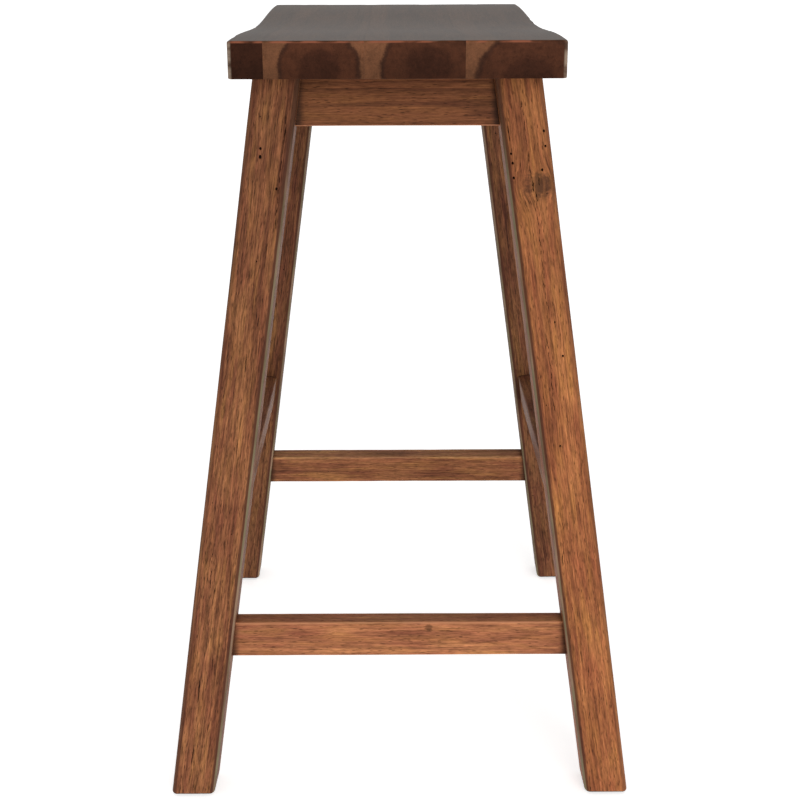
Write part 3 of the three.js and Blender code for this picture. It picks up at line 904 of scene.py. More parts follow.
# %% [markdown]
# ## Screws, nails and glides
#
# Small hardware hides under the seat and the feet. A screw is turned on a lathe: its profile goes
# round an axis. For the thread, the radius also follows a helix, so a single grid of points makes
# shank, thread and tip. The cross-shaped recess for the driver is a Boolean, as it is punched in.

# %% Lathe
def axis_of(points):
    """Middle and direction of a turned piece; the direction runs from its head to its tip."""
    middle = points.mean(0)
    way = np.linalg.svd(points - middle)[2][0]
    away = (points - middle) @ way
    radii = np.linalg.norm(points - middle - np.outer(away, way), axis=1)
    if away[radii.argmax()] > 0:
        way = -way
    away = (points - middle) @ way
    return Vector(middle + way * away.min()), Vector(way), away.max() - away.min()


def any_across(way):
    """Some direction square to the given one."""
    other = UP if abs(way.z) < 0.9 else Vector((1, 0, 0))
    return way.cross(other).normalized()


def turned_piece(name, profile, place, way, sides=32, swell=None):
    """A closed piece turned round its X axis. swell(x, angle, radius) may change the radius."""
    angles = np.arange(sides) / sides * 2 * math.pi
    rings = []
    for x, radius in profile:
        radii = np.full(sides, radius)
        if swell is not None:
            radii = swell(x, angles, radius)
        rings.append(np.column_stack((np.full(sides, x), np.cos(angles) * radii, np.sin(angles) * radii)))
    return loft(name, rings, placed(place, way, any_across(way)))


# %% Screws
HEAD_HEIGHT = 2.6 * MM
HEAD_RADIUS = 4 * MM
SHANK_RADIUS = 1.5 * MM
THREAD_RADIUS = 2 * MM
THREAD_PITCH = 1.8 * MM
NECK_END = HEAD_HEIGHT + 1.5 * MM
THREAD_START = HEAD_HEIGHT + 1.6 * MM
TIP_LENGTH = 4 * MM
RECESS = 1.7 * MM


def screw_profile(length):
    """Head, plain neck, threaded shank and tip, as places along the axis with a radius."""
    profile = []
    for step in range(9):
        angle = math.pi / 2 * step / 8
        wide = HEAD_RADIUS * (0.30 + 0.70 * math.sin(angle))
        profile.append((HEAD_HEIGHT * 0.62 * (1 - math.cos(angle)), wide))
    profile += [(HEAD_HEIGHT * 0.9, HEAD_RADIUS), (HEAD_HEIGHT, HEAD_RADIUS * 0.94)]
    profile += [(HEAD_HEIGHT + 0.01 * MM, SHANK_RADIUS * 1.1), (NECK_END, SHANK_RADIUS)]
    tip = length - TIP_LENGTH
    for x in np.arange(THREAD_START, tip, THREAD_PITCH / 8):
        profile.append((x, SHANK_RADIUS))
    for share in np.linspace(0, 0.97, 10):
        profile.append((tip + TIP_LENGTH * share, SHANK_RADIUS * (1 - share)))
    profile.append((length, 0.05 * MM))
    return profile


def threaded(x, angles, radius):
    """Adds a helical ridge past the neck, and lets it die away towards the tip."""
    if x < THREAD_START:
        return np.full(len(angles), radius)
    turn = (x / THREAD_PITCH - angles / (2 * math.pi)) % 1
    ridge = np.clip(1 - abs(turn - 0.5) / 0.32, 0, 1)
    return radius + ridge * (THREAD_RADIUS - SHANK_RADIUS) * min(1, radius / SHANK_RADIUS + 0.15)


def cross_recess(matrix):
    """Two crossed tapered blades, sunk in a screw's head."""
    blades = []
    for turn in (0, math.pi / 2):
        sections = []
        for x, long, thick in ((-1 * MM, 2.3 * MM, 0.62 * MM), (RECESS, 1.1 * MM, 0.36 * MM)):
            flat = np.array([(-long, -thick), (long, -thick), (long, thick), (-long, thick)])
            spun = flat @ np.array([(math.cos(turn), math.sin(turn)), (-math.sin(turn), math.cos(turn))])
            sections.append(np.column_stack((np.full(4, x), spun)))
        blades.append(tube(sections))
    return [cutter_object([blade], matrix) for blade in blades]


screw_names = [name for name in nodes if "_screw_" in name]
for name in screw_names:
    place, way, length = axis_of(cad_points(name))
    screw = turned_piece(f"{name}_turned", screw_profile(length), place, way, 24, threaded)
    for blade in cross_recess(screw.matrix_world):
        carve(screw, blade)
    shade(screw, 40)
    pieces[name] = screw
print("screws:", len(screw_names), "of", len(screw.data.vertices), "vertices")

# %% Glides and their nails
GLIDE_EDGE = 0.7 * MM
GLIDE_LEDGE = 1.4 * MM
WELL_EDGE = 0.35 * MM
NAIL_SHANK = 1 * MM
for end, side in CORNERS:
    low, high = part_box(f"glide_{end}_{side}")
    nail_low, nail_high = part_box(f"glide_nail_{end}_{side}")
    radius, thick = (high.x - low.x) / 2, high.z - low.z
    place = Vector(((low.x + high.x) / 2, (low.y + high.y) / 2, low.z))
    head = (nail_high.x - nail_low.x) / 2
    well = head + JOINT_AIR
    profile = [(GLIDE_LEDGE, NAIL_HOLE), (GLIDE_LEDGE, well), (WELL_EDGE, well), (0, well + WELL_EDGE)]
    profile += [(0, radius * 0.62), (0.12 * MM, radius * 0.66), (0, radius * 0.70)]
    for step in range(6):
        angle = math.pi / 2 * step / 5
        inner = radius - GLIDE_EDGE
        profile.append((GLIDE_EDGE * (1 - math.cos(angle)), inner + GLIDE_EDGE * math.sin(angle)))
    profile += [(thick * 0.8, radius), (thick, radius - 0.4 * MM), (thick, NAIL_HOLE)]
    count = GLIDE_SIDES
    angles = np.arange(count) / count * 2 * math.pi
    rows = [np.column_stack((np.cos(angles) * wide, np.sin(angles) * wide, np.full(count, height)))
            for height, wide in profile]
    faces = []
    for row in range(len(rows)):
        for here in range(count):
            after, base, later = (here + 1) % count, row * count, (row + 1) % len(rows) * count
            faces.append((base + here, base + after, later + after, later + here))
    glide = closed_piece(f"glide_{end}_{side}_moulded", np.concatenate(rows).tolist(), faces,
                         Matrix.Translation(place))
    shade(glide, 30)
    pieces[f"glide_{end}_{side}"] = glide

    long = nail_high.z - nail_low.z
    profile = [(0.02 * MM, head * 0.3), (0.08 * MM, head * 0.7), (0.25 * MM, head * 0.95)]
    profile += [(0.45 * MM, head), (0.8 * MM, head * 0.97), (0.82 * MM, NAIL_SHANK * 1.05)]
    profile += [(1.4 * MM, NAIL_SHANK), (long - 2.5 * MM, NAIL_SHANK)]
    profile += [(long - 0.2 * MM, NAIL_SHANK * 0.2), (long, NAIL_SHANK * 0.05)]
    bottom = Vector((place.x, place.y, nail_low.z))
    nail = turned_piece(f"glide_nail_{end}_{side}_turned", profile, bottom, UP, 24)
    shade(nail, 40)
    pieces[f"glide_nail_{end}_{side}"] = nail
print("glides:", len(glide.data.vertices), "vertices each; nails:", len(nail.data.vertices))

# %% [markdown]
# ## Corner blocks
#
# A corner block is a sawn triangle of plain hardwood, screwed in where two aprons meet. Its shape
# in the frame is already right, holes and all. So its mesh is copied, its sharp edges are broken
# with a small bevel, and it keeps its saw-cut faces.

# %% Corner blocks
BLOCK_BEVEL = 0.5 * MM
BLOCK_FLAT = math.radians(2)
BLOCK_CREASE = math.radians(50)
for end, side in CORNERS:
    name = f"corner_block_{end}_{side}"
    low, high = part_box(name)
    middle = (low + high) / 2
    mesh = nodes[name].data.copy()
    mesh.materials.clear()
    turn = Matrix.Rotation(math.atan2(-ENDS[end], SIDES[side]), 4, "Z")
    matrix = Matrix.Translation(middle) @ turn
    mesh.transform(matrix.inverted())
    block = bpy.data.objects.new(f"{name}_sawn", mesh)
    block.matrix_world = matrix
    bpy.context.collection.objects.link(block)
    shape = bmesh.new()
    shape.from_mesh(mesh)
    bmesh.ops.remove_doubles(shape, verts=shape.verts, dist=WELD)
    bmesh.ops.dissolve_limit(shape, angle_limit=BLOCK_FLAT, verts=shape.verts, edges=shape.edges)
    shape.to_mesh(mesh)
    shape.free()
    for edge in mesh.edges:
        edge.use_edge_sharp = False
    bevel = block.modifiers.new("broken edges", "BEVEL")
    bevel.width = BLOCK_BEVEL
    bevel.segments = 2
    bevel.limit_method = "ANGLE"
    bevel.angle_limit = BLOCK_CREASE
    bevel.use_clamp_overlap = True
    settle(block)
    shade(block, 30)
    pieces[name] = block
print("corner blocks:", len(block.data.vertices), "vertices each")
print("pieces:", len(pieces), "of", len(nodes))

# %% [markdown]
# ## Finishes
#
# All the finishes are made of nodes, with no pictures. Wood is a solid, so its pattern is worked out
# in space: growth rings lie round a pith line that runs along the board, and a face or an end shows
# wherever it cuts them. That is why each piece has its own X along the grain.
#
# What several finishes share is a node group. A group is built once, like a function, with named
# inputs and outputs, and each material places it with its own values. The shader itself stays in
# the material. A small class keeps the making of nodes short.

# %% Short ways to add nodes
class Sheet:
    """A node tree with short ways to add nodes. Values may be numbers, colours or sockets."""

    def __init__(self, tree):
        self.tree = tree

    def node(self, kind, **settings):
        made = self.tree.nodes.new(f"ShaderNode{kind}")
        for name, value in settings.items():
            setattr(made, name, value)
        return made

    def feed(self, socket, value):
        if isinstance(value, bpy.types.NodeSocket):
            self.tree.links.new(value, socket)
        elif socket.type == "RGBA":
            socket.default_value = (*value[:3], 1)
        else:
            socket.default_value = value

    def math(self, operation, *values, clamp=False):
        made = self.node("Math", operation=operation, use_clamp=clamp)
        for socket, value in zip(made.inputs, values):
            self.feed(socket, value)
        return made.outputs[0]

    def product(self, *values):
        """All the values multiplied together, in turn."""
        found = values[0]
        for value in values[1:]:
            found = self.math("MULTIPLY", found, value)
        return found

    def off_axis(self, side_y, side_z):
        """Distance from an axis along X, from how far off it a point lies in Y and in Z."""
        squares = [self.math("POWER", side, 2.0) for side in (side_y, side_z)]
        return self.math("SQRT", self.math("ADD", *squares))

    def vector(self, operation, *values):
        made = self.node("VectorMath", operation=operation)
        for socket, value in zip(made.inputs, values):
            self.feed(socket, value)
        return made.outputs["Value" if operation in ("LENGTH", "DISTANCE") else "Vector"]

    def parts(self, vector):
        made = self.node("SeparateXYZ")
        self.feed(made.inputs[0], vector)
        return made.outputs

    def in_mm(self, vector):
        """A place in millimetres, which suits the sizes of a finish."""
        return self.vector("MULTIPLY", vector, (1000, 1000, 1000))

    def joined(self, *values):
        made = self.node("CombineXYZ")
        for socket, value in zip(made.inputs, values):
            self.feed(socket, value)
        return made.outputs[0]

    def span(self, value, low, high, to_low=0.0, to_high=1.0):
        """Smooth step of a value between two limits."""
        made = self.node("MapRange", interpolation_type="SMOOTHSTEP")
        for name, given in (("Value", value), ("From Min", low), ("From Max", high),
                            ("To Min", to_low), ("To Max", to_high)):
            self.feed(made.inputs[name], given)
        return made.outputs["Result"]

    def noise(self, vector, sizes, seed, detail=2.0, roughness=0.5, output="Fac"):
        """Noise with features of the given sizes in millimetres, along X, Y and Z."""
        squeezed = self.vector("DIVIDE", vector, sizes)
        shift = self.vector("MULTIPLY", self.joined(seed, seed, seed), (17.3, 7.1, 3.7))
        made = self.node("TexNoise")
        self.feed(made.inputs["Vector"], self.vector("ADD", squeezed, shift))
        self.feed(made.inputs["Scale"], 1.0)
        self.feed(made.inputs["Detail"], detail)
        self.feed(made.inputs["Roughness"], roughness)
        return made.outputs[output]

    def cells(self, vector, sizes, seed):
        """Distance to the nearest of many scattered points, and each one's own random value."""
        squeezed = self.vector("DIVIDE", vector, sizes)
        shift = self.vector("MULTIPLY", self.joined(seed, seed, seed), (5.3, 9.7, 2.9))
        made = self.node("TexVoronoi")
        self.feed(made.inputs["Vector"], self.vector("ADD", squeezed, shift))
        self.feed(made.inputs["Scale"], 1.0)
        return made.outputs["Distance"], self.parts(made.outputs["Color"])[0]

    def mix(self, share, first, second, blend="MIX"):
        """Two colours mixed by a share, or the first one tinted by the second."""
        made = self.node("Mix", data_type="RGBA", blend_type=blend)
        for index, value in ((0, share), (6, first), (7, second)):
            self.feed(made.inputs[index], value)
        return made.outputs[2]

    def scaled(self, colour, factor):
        """A colour made lighter or darker by a factor."""
        return self.mix(1.0, colour, self.joined(factor, factor, factor), "MULTIPLY")

    def group(self, tree, **values):
        """Places a node group. Underscores stand for spaces in its inputs' names."""
        made = self.node("Group")
        made.node_tree = tree
        for name, value in values.items():
            self.feed(made.inputs[name.replace("_", " ")], value)
        return made.outputs


def new_group(name, inputs, outputs):
    """A shader node group with named sockets: its sheet, its inputs, and its output sockets."""
    tree = bpy.data.node_groups.new(name, "ShaderNodeTree")
    for label, start in inputs.items():
        kind = "Vector" if label in ("Vector", "Knot Place") else "Float"
        kind = "Color" if isinstance(start, tuple) and kind == "Float" else kind
        socket = tree.interface.new_socket(label, in_out="INPUT", socket_type=f"NodeSocket{kind}")
        socket.default_value = (*start, 1) if kind == "Color" else start
    for label in outputs:
        kind = "Color" if label == "Colour" else "Float"
        tree.interface.new_socket(label, in_out="OUTPUT", socket_type=f"NodeSocket{kind}")
    given = tree.nodes.new("NodeGroupInput").outputs
    out = tree.nodes.new("NodeGroupOutput").inputs
    return Sheet(tree), given, out


# %% [markdown]
# **Wood grain.** The grain wanders slowly along the board, and it bends round a knot as water bends
# round a stone. Growth rings are the distance from the pith, cut into bands. Fibres and streaks are
# noise drawn out along the grain. Pores are the open ends of vessels, a few millimetres long and a
# few tenths of a millimetre wide, and show as dark dashes; fewer, longer ones lie among them.

# %% Group: wood grain
NOWHERE = (0.0, 900.0, 0.0)
grain, given, out = new_group(
    "Wood grain",
    {"Vector": (0, 0, 0), "Seed": 1.0, "Pith Y": 60.0, "Pith Z": 20.0, "Ring Width": 4.0,
     "Wander": 5.0, "Knot Place": NOWHERE, "Knot Size": 6.0},
    ["Rings", "Fibre", "Streak", "Patch", "Pores", "Knot"],
)
place = grain.in_mm(given["Vector"])
from_knot = grain.vector("SUBTRACT", place, given["Knot Place"])
knot_way = grain.vector("LENGTH", grain.vector("MULTIPLY", from_knot, (1.1, 1, 0.9)))
knot_way = grain.math("DIVIDE", knot_way, given["Knot Size"])
near_knot = grain.math("EXPONENT", grain.math("MULTIPLY", grain.math("POWER", knot_way, 2.0), -0.55))
bend = grain.math("MULTIPLY", near_knot, 0.6)
pull = grain.joined(0.0, bend, bend)
bent = grain.vector("SUBTRACT", place, grain.vector("MULTIPLY", from_knot, pull))
drift = grain.noise(bent, (240, 60, 60), given["Seed"], 2.0, output="Color")
drift = grain.vector("SUBTRACT", drift, (0.5, 0.5, 0.5))
sway = grain.joined(0.0, given["Wander"], given["Wander"])
lines = grain.vector("ADD", bent, grain.vector("MULTIPLY", drift, sway))
x, y, z = grain.parts(lines)
ring_y = grain.math("SUBTRACT", y, given["Pith Y"])
ring_z = grain.math("SUBTRACT", z, given["Pith Z"])
uneven = grain.math("MULTIPLY", grain.noise(lines, (400, 15, 15), given["Seed"], 1.0), 3.0)
turns = grain.math("DIVIDE", grain.off_axis(ring_y, ring_z), given["Ring Width"])
turns = grain.math("ADD", turns, uneven)
band = grain.math("FRACT", turns)
late = grain.math("MULTIPLY", grain.span(band, 0.05, 0.8), grain.span(band, 0.88, 1.0, 1.0, 0.0))
grain.feed(out["Rings"], late)
long_fibre = grain.noise(lines, (38, 0.8, 0.8), given["Seed"], 4.0, 0.62)
short_fibre = grain.noise(lines, (9, 1.05, 1.05), grain.math("ADD", given["Seed"], 0.5), 5.0, 0.68)
fibre = grain.math("ADD", grain.math("MULTIPLY", long_fibre, 0.4), grain.math("MULTIPLY", short_fibre, 0.6))
grain.feed(out["Fibre"], fibre)
grain.feed(out["Streak"], grain.noise(lines, (105, 3.0, 3.0), given["Seed"], 4.0, 0.62))
grain.feed(out["Patch"], grain.noise(lines, (62, 13, 13), given["Seed"], 3.0, 0.55))
pore_way, pore_luck = grain.cells(lines, (8, 1.15, 1.15), given["Seed"])
pore = grain.math("MULTIPLY", grain.span(pore_way, 0.12, 0.28, 1.0, 0.0), grain.span(pore_luck, 0.45, 0.5))
vein_way, vein_luck = grain.cells(lines, (15, 2.1, 2.1), given["Seed"])
vein = grain.math("MULTIPLY", grain.span(vein_way, 0.07, 0.2, 1.0, 0.0), grain.span(vein_luck, 0.6, 0.65))
grain.feed(out["Pores"], grain.math("MAXIMUM", pore, vein))
ragged = grain.noise(place, (2.6, 3.4, 3.4), given["Seed"], 4.0, 0.6)
torn_way = grain.math("ADD", knot_way, grain.math("MULTIPLY", grain.math("SUBTRACT", ragged, 0.5), 1.9))
grain.feed(out["Knot"], grain.span(torn_way, 0.35, 1.25, 1.0, 0.0))
print("group:", grain.tree.name, len(grain.tree.nodes), "nodes")

# %% [markdown]
# ** Bar skin.** Stain and lacquer wear off along the rounded edges first, and dirt and stain gather
# in cracks and holes, which painted shade darkens further. A bar's section is a plain rectangle in
# its own Y and Z, so both can be worked out from where a point lies: beyond the flat of both faces it
# is on an edge, and below the surface it is in a crevice. No painted map is needed, and it stays right
# wherever a crack is cut. "Edge" is patchy, "Rim" is even, and "Turn" tells which of the edge's two
# faces a point is nearer to.

# %% Group: bar skin
skin, given, out = new_group(
    "Bar skin",
    {"Vector": (0, 0, 0), "Half Height": 17.5, "Half Thickness": 17.5, "Edge Radius": 4.0, "Seed": 1.0},
    ["Edge", "Rim", "Turn", "Crevice"],
)
place = skin.in_mm(given["Vector"])
x, y, z = skin.parts(skin.vector("ABSOLUTE", place))
past_y = skin.math("ADD", skin.math("SUBTRACT", y, given["Half Height"]), given["Edge Radius"])
past_z = skin.math("ADD", skin.math("SUBTRACT", z, given["Half Thickness"]), given["Edge Radius"])
least = skin.math("MINIMUM", past_y, past_z)
most = skin.math("MAXIMUM", past_y, past_z)
patchy = skin.noise(place, (26, 5, 5), given["Seed"], 3.0, 0.6)
wear_and_highlight = skin.math("ADD", skin.math("DIVIDE", least, given["Edge Radius"]),
                   skin.math("MULTIPLY", skin.math("SUBTRACT", patchy, 0.5), 1.7))
skin.feed(out["Edge"], skin.span(wear_and_highlight, 0.1, 0.85))
skin.feed(out["Rim"], skin.span(skin.math("DIVIDE", least, given["Edge Radius"]), -0.12, 0.3))
skin.feed(out["Turn"], skin.math("DIVIDE", skin.math("SUBTRACT", past_z, past_y), given["Edge Radius"]))
corner = skin.off_axis(skin.math("MAXIMUM", past_y, 0.0), skin.math("MAXIMUM", past_z, 0.0))
outside = skin.math("ADD", corner, skin.math("MINIMUM", most, 0.0))
outside = skin.math("SUBTRACT", outside, given["Edge Radius"])
skin.feed(out["Crevice"], skin.span(outside, -0.9, -0.35, 1.0, 0.0))
print("group:", skin.tree.name, len(skin.tree.nodes), "nodes")

# %% [markdown]
# ** Stained wood.** Stain sinks deepest into soft, open grain, so it strengthens the grain's own
# pattern. The group mixes a light, a middle and a dark tone by the masks of the grain, lets fibres
# vary it finely, darkens pores, darkens cracks with stain and painted shade, and rubs the edges back
# to a paler tone. It also gives the roughness, and a height for the bumps that are too fine for the mesh.

# %% Group: stained wood
PORE_STAIN = (0.028, 0.012, 0.007)
KNOT_STAIN = (0.085, 0.034, 0.016)
# Stain in cracks and holes, darkened further as painted shade.
CREVICE_STAIN_AND_SHADE = (0.018, 0.009, 0.006)
EVEN_TONE = 0.49
FIBRE_STRENGTH = 3.6
LEAST_FIBRE = 0.25
stain, given, out = new_group(
    "Stained wood",
    {"Rings": 0.0, "Fibre": 0.5, "Streak": 0.5, "Patch": 0.5, "Pores": 0.0, "Knot": 0.0, "Edge": 0.0,
     "Crevice": 0.0, "Light": (0.5, 0.25, 0.1), "Middle": (0.3, 0.13, 0.06), "Dark": (0.1, 0.04, 0.02),
     "Worn": (0.5, 0.3, 0.2), "Wear": 0.5, "Contrast": 1.0, "Ring Strength": 0.2, "Streaks": 1.0,
     "Gloss": 0.5},
    ["Colour", "Roughness", "Height"],
)
even = stain.math("MULTIPLY", stain.math("SUBTRACT", 1.0, given["Streaks"]), EVEN_TONE)
streak, patch = (stain.math("ADD", stain.math("MULTIPLY", given[mask], given["Streaks"]), even)
                 for mask in ("Streak", "Patch"))
tone = stain.mix(stain.span(patch, 0.42, 0.64, 0.0, 0.6), given["Middle"], given["Light"])
tone = stain.mix(stain.span(streak, 0.48, 0.68, 0.0, 0.6), tone, given["Light"])
tone = stain.mix(stain.span(streak, 0.48, 0.32, 0.0, 0.55), tone, given["Dark"])
tone = stain.mix(stain.span(patch, 0.46, 0.28, 0.0, 0.4), tone, given["Dark"])
tone = stain.mix(stain.math("MULTIPLY", given["Rings"], given["Ring Strength"]), tone, given["Dark"])
strength = stain.math("MULTIPLY", stain.math("SUBTRACT", given["Fibre"], 0.5), given["Contrast"])
factor = stain.math("ADD", stain.math("MULTIPLY", strength, FIBRE_STRENGTH), 1.0)
tone = stain.scaled(tone, stain.math("MAXIMUM", factor, LEAST_FIBRE))
tone = stain.mix(stain.math("MULTIPLY", given["Pores"], 0.72), tone, PORE_STAIN)
in_knot = stain.math("MULTIPLY", given["Knot"], stain.span(given["Streak"], 0.38, 0.6, 0.95, 0.6))
tone = stain.mix(in_knot, tone, KNOT_STAIN)
wear_and_highlight = stain.math("MULTIPLY", given["Edge"], given["Wear"], clamp=True)
tone = stain.mix(wear_and_highlight, tone, given["Worn"])
# Cracks and holes: stain together with painted shade.
tone = stain.mix(given["Crevice"], tone, CREVICE_STAIN_AND_SHADE)
stain.feed(out["Colour"], tone)
rough = stain.math("ADD", given["Gloss"], stain.math("MULTIPLY", strength, -0.35))
rough = stain.math("ADD", rough, stain.math("MULTIPLY", given["Pores"], 0.2))
rough = stain.math("ADD", rough, stain.math("MULTIPLY", given["Crevice"], 0.3))
smoothed = stain.math("MULTIPLY", wear_and_highlight, 0.08)
stain.feed(out["Roughness"], stain.math("SUBTRACT", rough, smoothed, clamp=True))
relief = stain.math("ADD", stain.math("MULTIPLY", strength, 0.9), 0.6)
relief = stain.math("SUBTRACT", relief, stain.math("MULTIPLY", given["Pores"], 0.5))
stain.feed(out["Height"], stain.math("ADD", relief, stain.math("MULTIPLY", given["Rings"], 0.2)))
print("group:", stain.tree.name, len(stain.tree.nodes), "nodes")


# %% Starting a material
def new_material(name):
    """A material with nodes: its sheet, its shader, and the piece's own coordinates."""
    material = bpy.data.materials.new(name)
    material.use_nodes = True
    material.node_tree.nodes.clear()
    sheet = Sheet(material.node_tree)
    shader = sheet.node("BsdfPrincipled")
    sheet.feed(sheet.node("OutputMaterial").inputs["Surface"], shader.outputs["BSDF"])
    return material, sheet, shader.inputs, sheet.node("TexCoord").outputs["Object"]


def bump(sheet, sockets, height, depth):
    """Fine relief: a height from 0 to 1 stands for a depth in metres."""
    made = sheet.node("Bump")
    made.inputs["Strength"].default_value = 1.0
    made.inputs["Distance"].default_value = depth
    sheet.feed(made.inputs["Height"], height)
    sheet.feed(sockets["Normal"], made.outputs["Normal"])


def paint(piece, material):
    """Gives the whole piece one material."""
    mesh = piece.data
    mesh.materials.clear()
    mesh.materials.append(material)
    mesh.polygons.foreach_set("material_index", np.zeros(len(mesh.polygons), np.int32))


def tinted(colour, amount, warmth=0.0):
    """A colour made lighter or darker, and warmer or cooler."""
    red, green, blue = colour
    return (red * amount * (1 + 0.6 * warmth), green * amount, blue * amount * (1 - warmth))


# %% [markdown]
# ## Frame wood
#
# Legs and rails are stained reddish brown over a light, coarse timber, then brushed, which leaves a
# low sheen and a furrowed surface. No two are alike: each gets its own seed, its own place for the
# pith, and a tone a little lighter or warmer than the next. Patches lean to ochre and to russet.

# %% Frame wood
LIGHT_STAIN = (0.36, 0.160, 0.070)
MIDDLE_STAIN = (0.225, 0.085, 0.043)
DARK_STAIN = (0.085, 0.031, 0.019)
WORN_STAIN = (0.42, 0.22, 0.12)
OCHRE = (1.12, 1.22, 0.94)
RUSSET = (1.0, 0.84, 0.96)
EDGE_WEAR = 0.35
FRAME_GLOSS = 0.5
FRAME_IOR = 1.14
FRAME_RELIEF = 0.28 * MM
GRAIN_MASKS = ("Rings", "Fibre", "Streak", "Patch", "Pores", "Knot")


def frame_wood(name, seed, half_height, half_thick, radius, pith, amount=1.0, warmth=0.0,
               contrast=1.0, ring_width=4.5, rings=0.2, streaks=1.0, wander=6.0, knot=NOWHERE,
               knot_size=6.0, hues=0.5):
    """The stained wood that legs and rails share: all that a finish still needs, by name."""
    material, sheet, sockets, vector = new_material(name)
    marks = sheet.group(grain.tree, Vector=vector, Seed=seed, Pith_Y=pith[0], Pith_Z=pith[1],
                        Ring_Width=ring_width, Wander=wander, Knot_Place=knot, Knot_Size=knot_size)
    edges = sheet.group(skin.tree, Vector=vector, Half_Height=half_height / MM,
                        Half_Thickness=half_thick / MM, Edge_Radius=radius / MM, Seed=seed)
    colours = {"Light": LIGHT_STAIN, "Middle": MIDDLE_STAIN, "Dark": DARK_STAIN, "Worn": WORN_STAIN}
    colours = {label: tinted(colour, amount, warmth) for label, colour in colours.items()}
    masks = {label: marks[label] for label in GRAIN_MASKS}
    looks = sheet.group(stain.tree, **masks, Edge=edges["Edge"], Crevice=edges["Crevice"], **colours,
                        Wear=EDGE_WEAR, Contrast=contrast, Ring_Strength=rings, Streaks=streaks,
                        Gloss=FRAME_GLOSS)
    hue = sheet.noise(sheet.in_mm(vector), (46, 6.5, 6.5), seed + 3.0, 3.0)
    colour = sheet.mix(sheet.span(hue, 0.47, 0.66, 0.0, hues), looks["Colour"], OCHRE, "MULTIPLY")
    colour = sheet.mix(sheet.span(hue, 0.49, 0.32, 0.0, hues), colour, RUSSET, "MULTIPLY")
    sheet.feed(sockets["Roughness"], looks["Roughness"])
    sockets["IOR"].default_value = FRAME_IOR
    bump(sheet, sockets, looks["Height"], FRAME_RELIEF)
    return {"material": material, "sheet": sheet, "sockets": sockets, "marks": marks, "edges": edges,
            "hue": hue, "colour": colour, "places": sheet.parts(vector)}


# %% [markdown]
# ** Legs.** A leg gets painted shade on the two faces that look under the seat, and towards its top.
# Its rounded outer edges carry a dark painted reflection, and its inner corners a band of painted
# shade. Along the inner corners runs a painted highlight, a dull line which changes between grey
# and greenish, and fades out near the top.

# %% Leg finish
# Tint of the painted shade on a leg's faces that look under the seat.
SHADED = (0.62, 0.54, 0.58)
INNER_SHADE = 0.6
# Colours of the painted highlight along a leg's inner corners.
HIGHLIGHT_GREY = (0.30, 0.195, 0.125)
HIGHLIGHT_GREENISH = (0.20, 0.165, 0.095)
# Strength and tone of the painted shade along a leg's inner corners.
INNER_SHADE_RIM = 0.8
INNER_SHADE_RIM_TONE = 0.7
# Painted shade towards the top of a leg, under the seat.
TOP_SHADE_FROM, TOP_SHADE_TO = 0.2, 0.56
HIGHLIGHT_FADES_FROM, HIGHLIGHT_FADES_TO = 0.50, 0.555


def leg_wood(name, seed, half, inner, top_shade, amount, warmth, **looks):
    """A leg's finish. inner says which way along its Z the middle of the stool lies."""
    wood = frame_wood(name, seed, half, half, LEG_RADIUS, amount=amount, warmth=warmth, **looks)
    sheet, marks, edges, colour = (wood[part] for part in ("sheet", "marks", "edges", "colour"))
    x, y, z = wood["places"]
    to_middle = sheet.math("MULTIPLY", z, inner / half)
    # Painted shade: darker towards the two faces that look under the seat.
    inward = sheet.product(sheet.span(to_middle, -0.3, 0.9),
                           sheet.span(marks["Streak"], 0.6, 0.4, 0.25, 1.0), INNER_SHADE)
    colour = sheet.mix(inward, colour, SHADED, "MULTIPLY")
    # Painted dark reflection along the rounded outer edges.
    painted_dark_reflection = sheet.product(edges["Rim"], sheet.span(to_middle, 0.0, -0.5, 0.0, 0.7),
                              sheet.span(marks["Streak"], 0.35, 0.6, 1.0, 0.45))
    colour = sheet.mix(painted_dark_reflection, colour, tinted(DARK_STAIN, amount, warmth))
    # Painted shade in a band along the rounded inner corners.
    inner_rim = sheet.math("MULTIPLY", edges["Rim"], sheet.span(to_middle, 0.0, 0.5))
    colour = sheet.mix(sheet.math("MULTIPLY", inner_rim, INNER_SHADE_RIM), colour,
                       tinted(DARK_STAIN, INNER_SHADE_RIM_TONE))
    # Painted highlight along the inner corners, grey to greenish, fading out near the top.
    wear_and_highlight = sheet.product(sheet.span(edges["Turn"], -0.35, 0.0),
                           sheet.span(marks["Patch"], 0.3, 0.6, 0.35, 0.9),
                           sheet.span(edges["Turn"], 2.4, 0.9),
                           sheet.span(x, HIGHLIGHT_FADES_FROM, HIGHLIGHT_FADES_TO, 1.0, 0.1))
    painted_highlight_tone = sheet.mix(sheet.span(wood["hue"], 0.42, 0.56), HIGHLIGHT_GREY, HIGHLIGHT_GREENISH)
    colour = sheet.mix(sheet.math("MULTIPLY", inner_rim, wear_and_highlight), colour, painted_highlight_tone)
    # Painted shade towards the top, under the seat.
    colour = sheet.scaled(colour, sheet.span(x, TOP_SHADE_FROM, TOP_SHADE_TO, 1.0, top_shade))
    sheet.feed(wood["sockets"]["Base Color"], colour)
    return wood["material"]


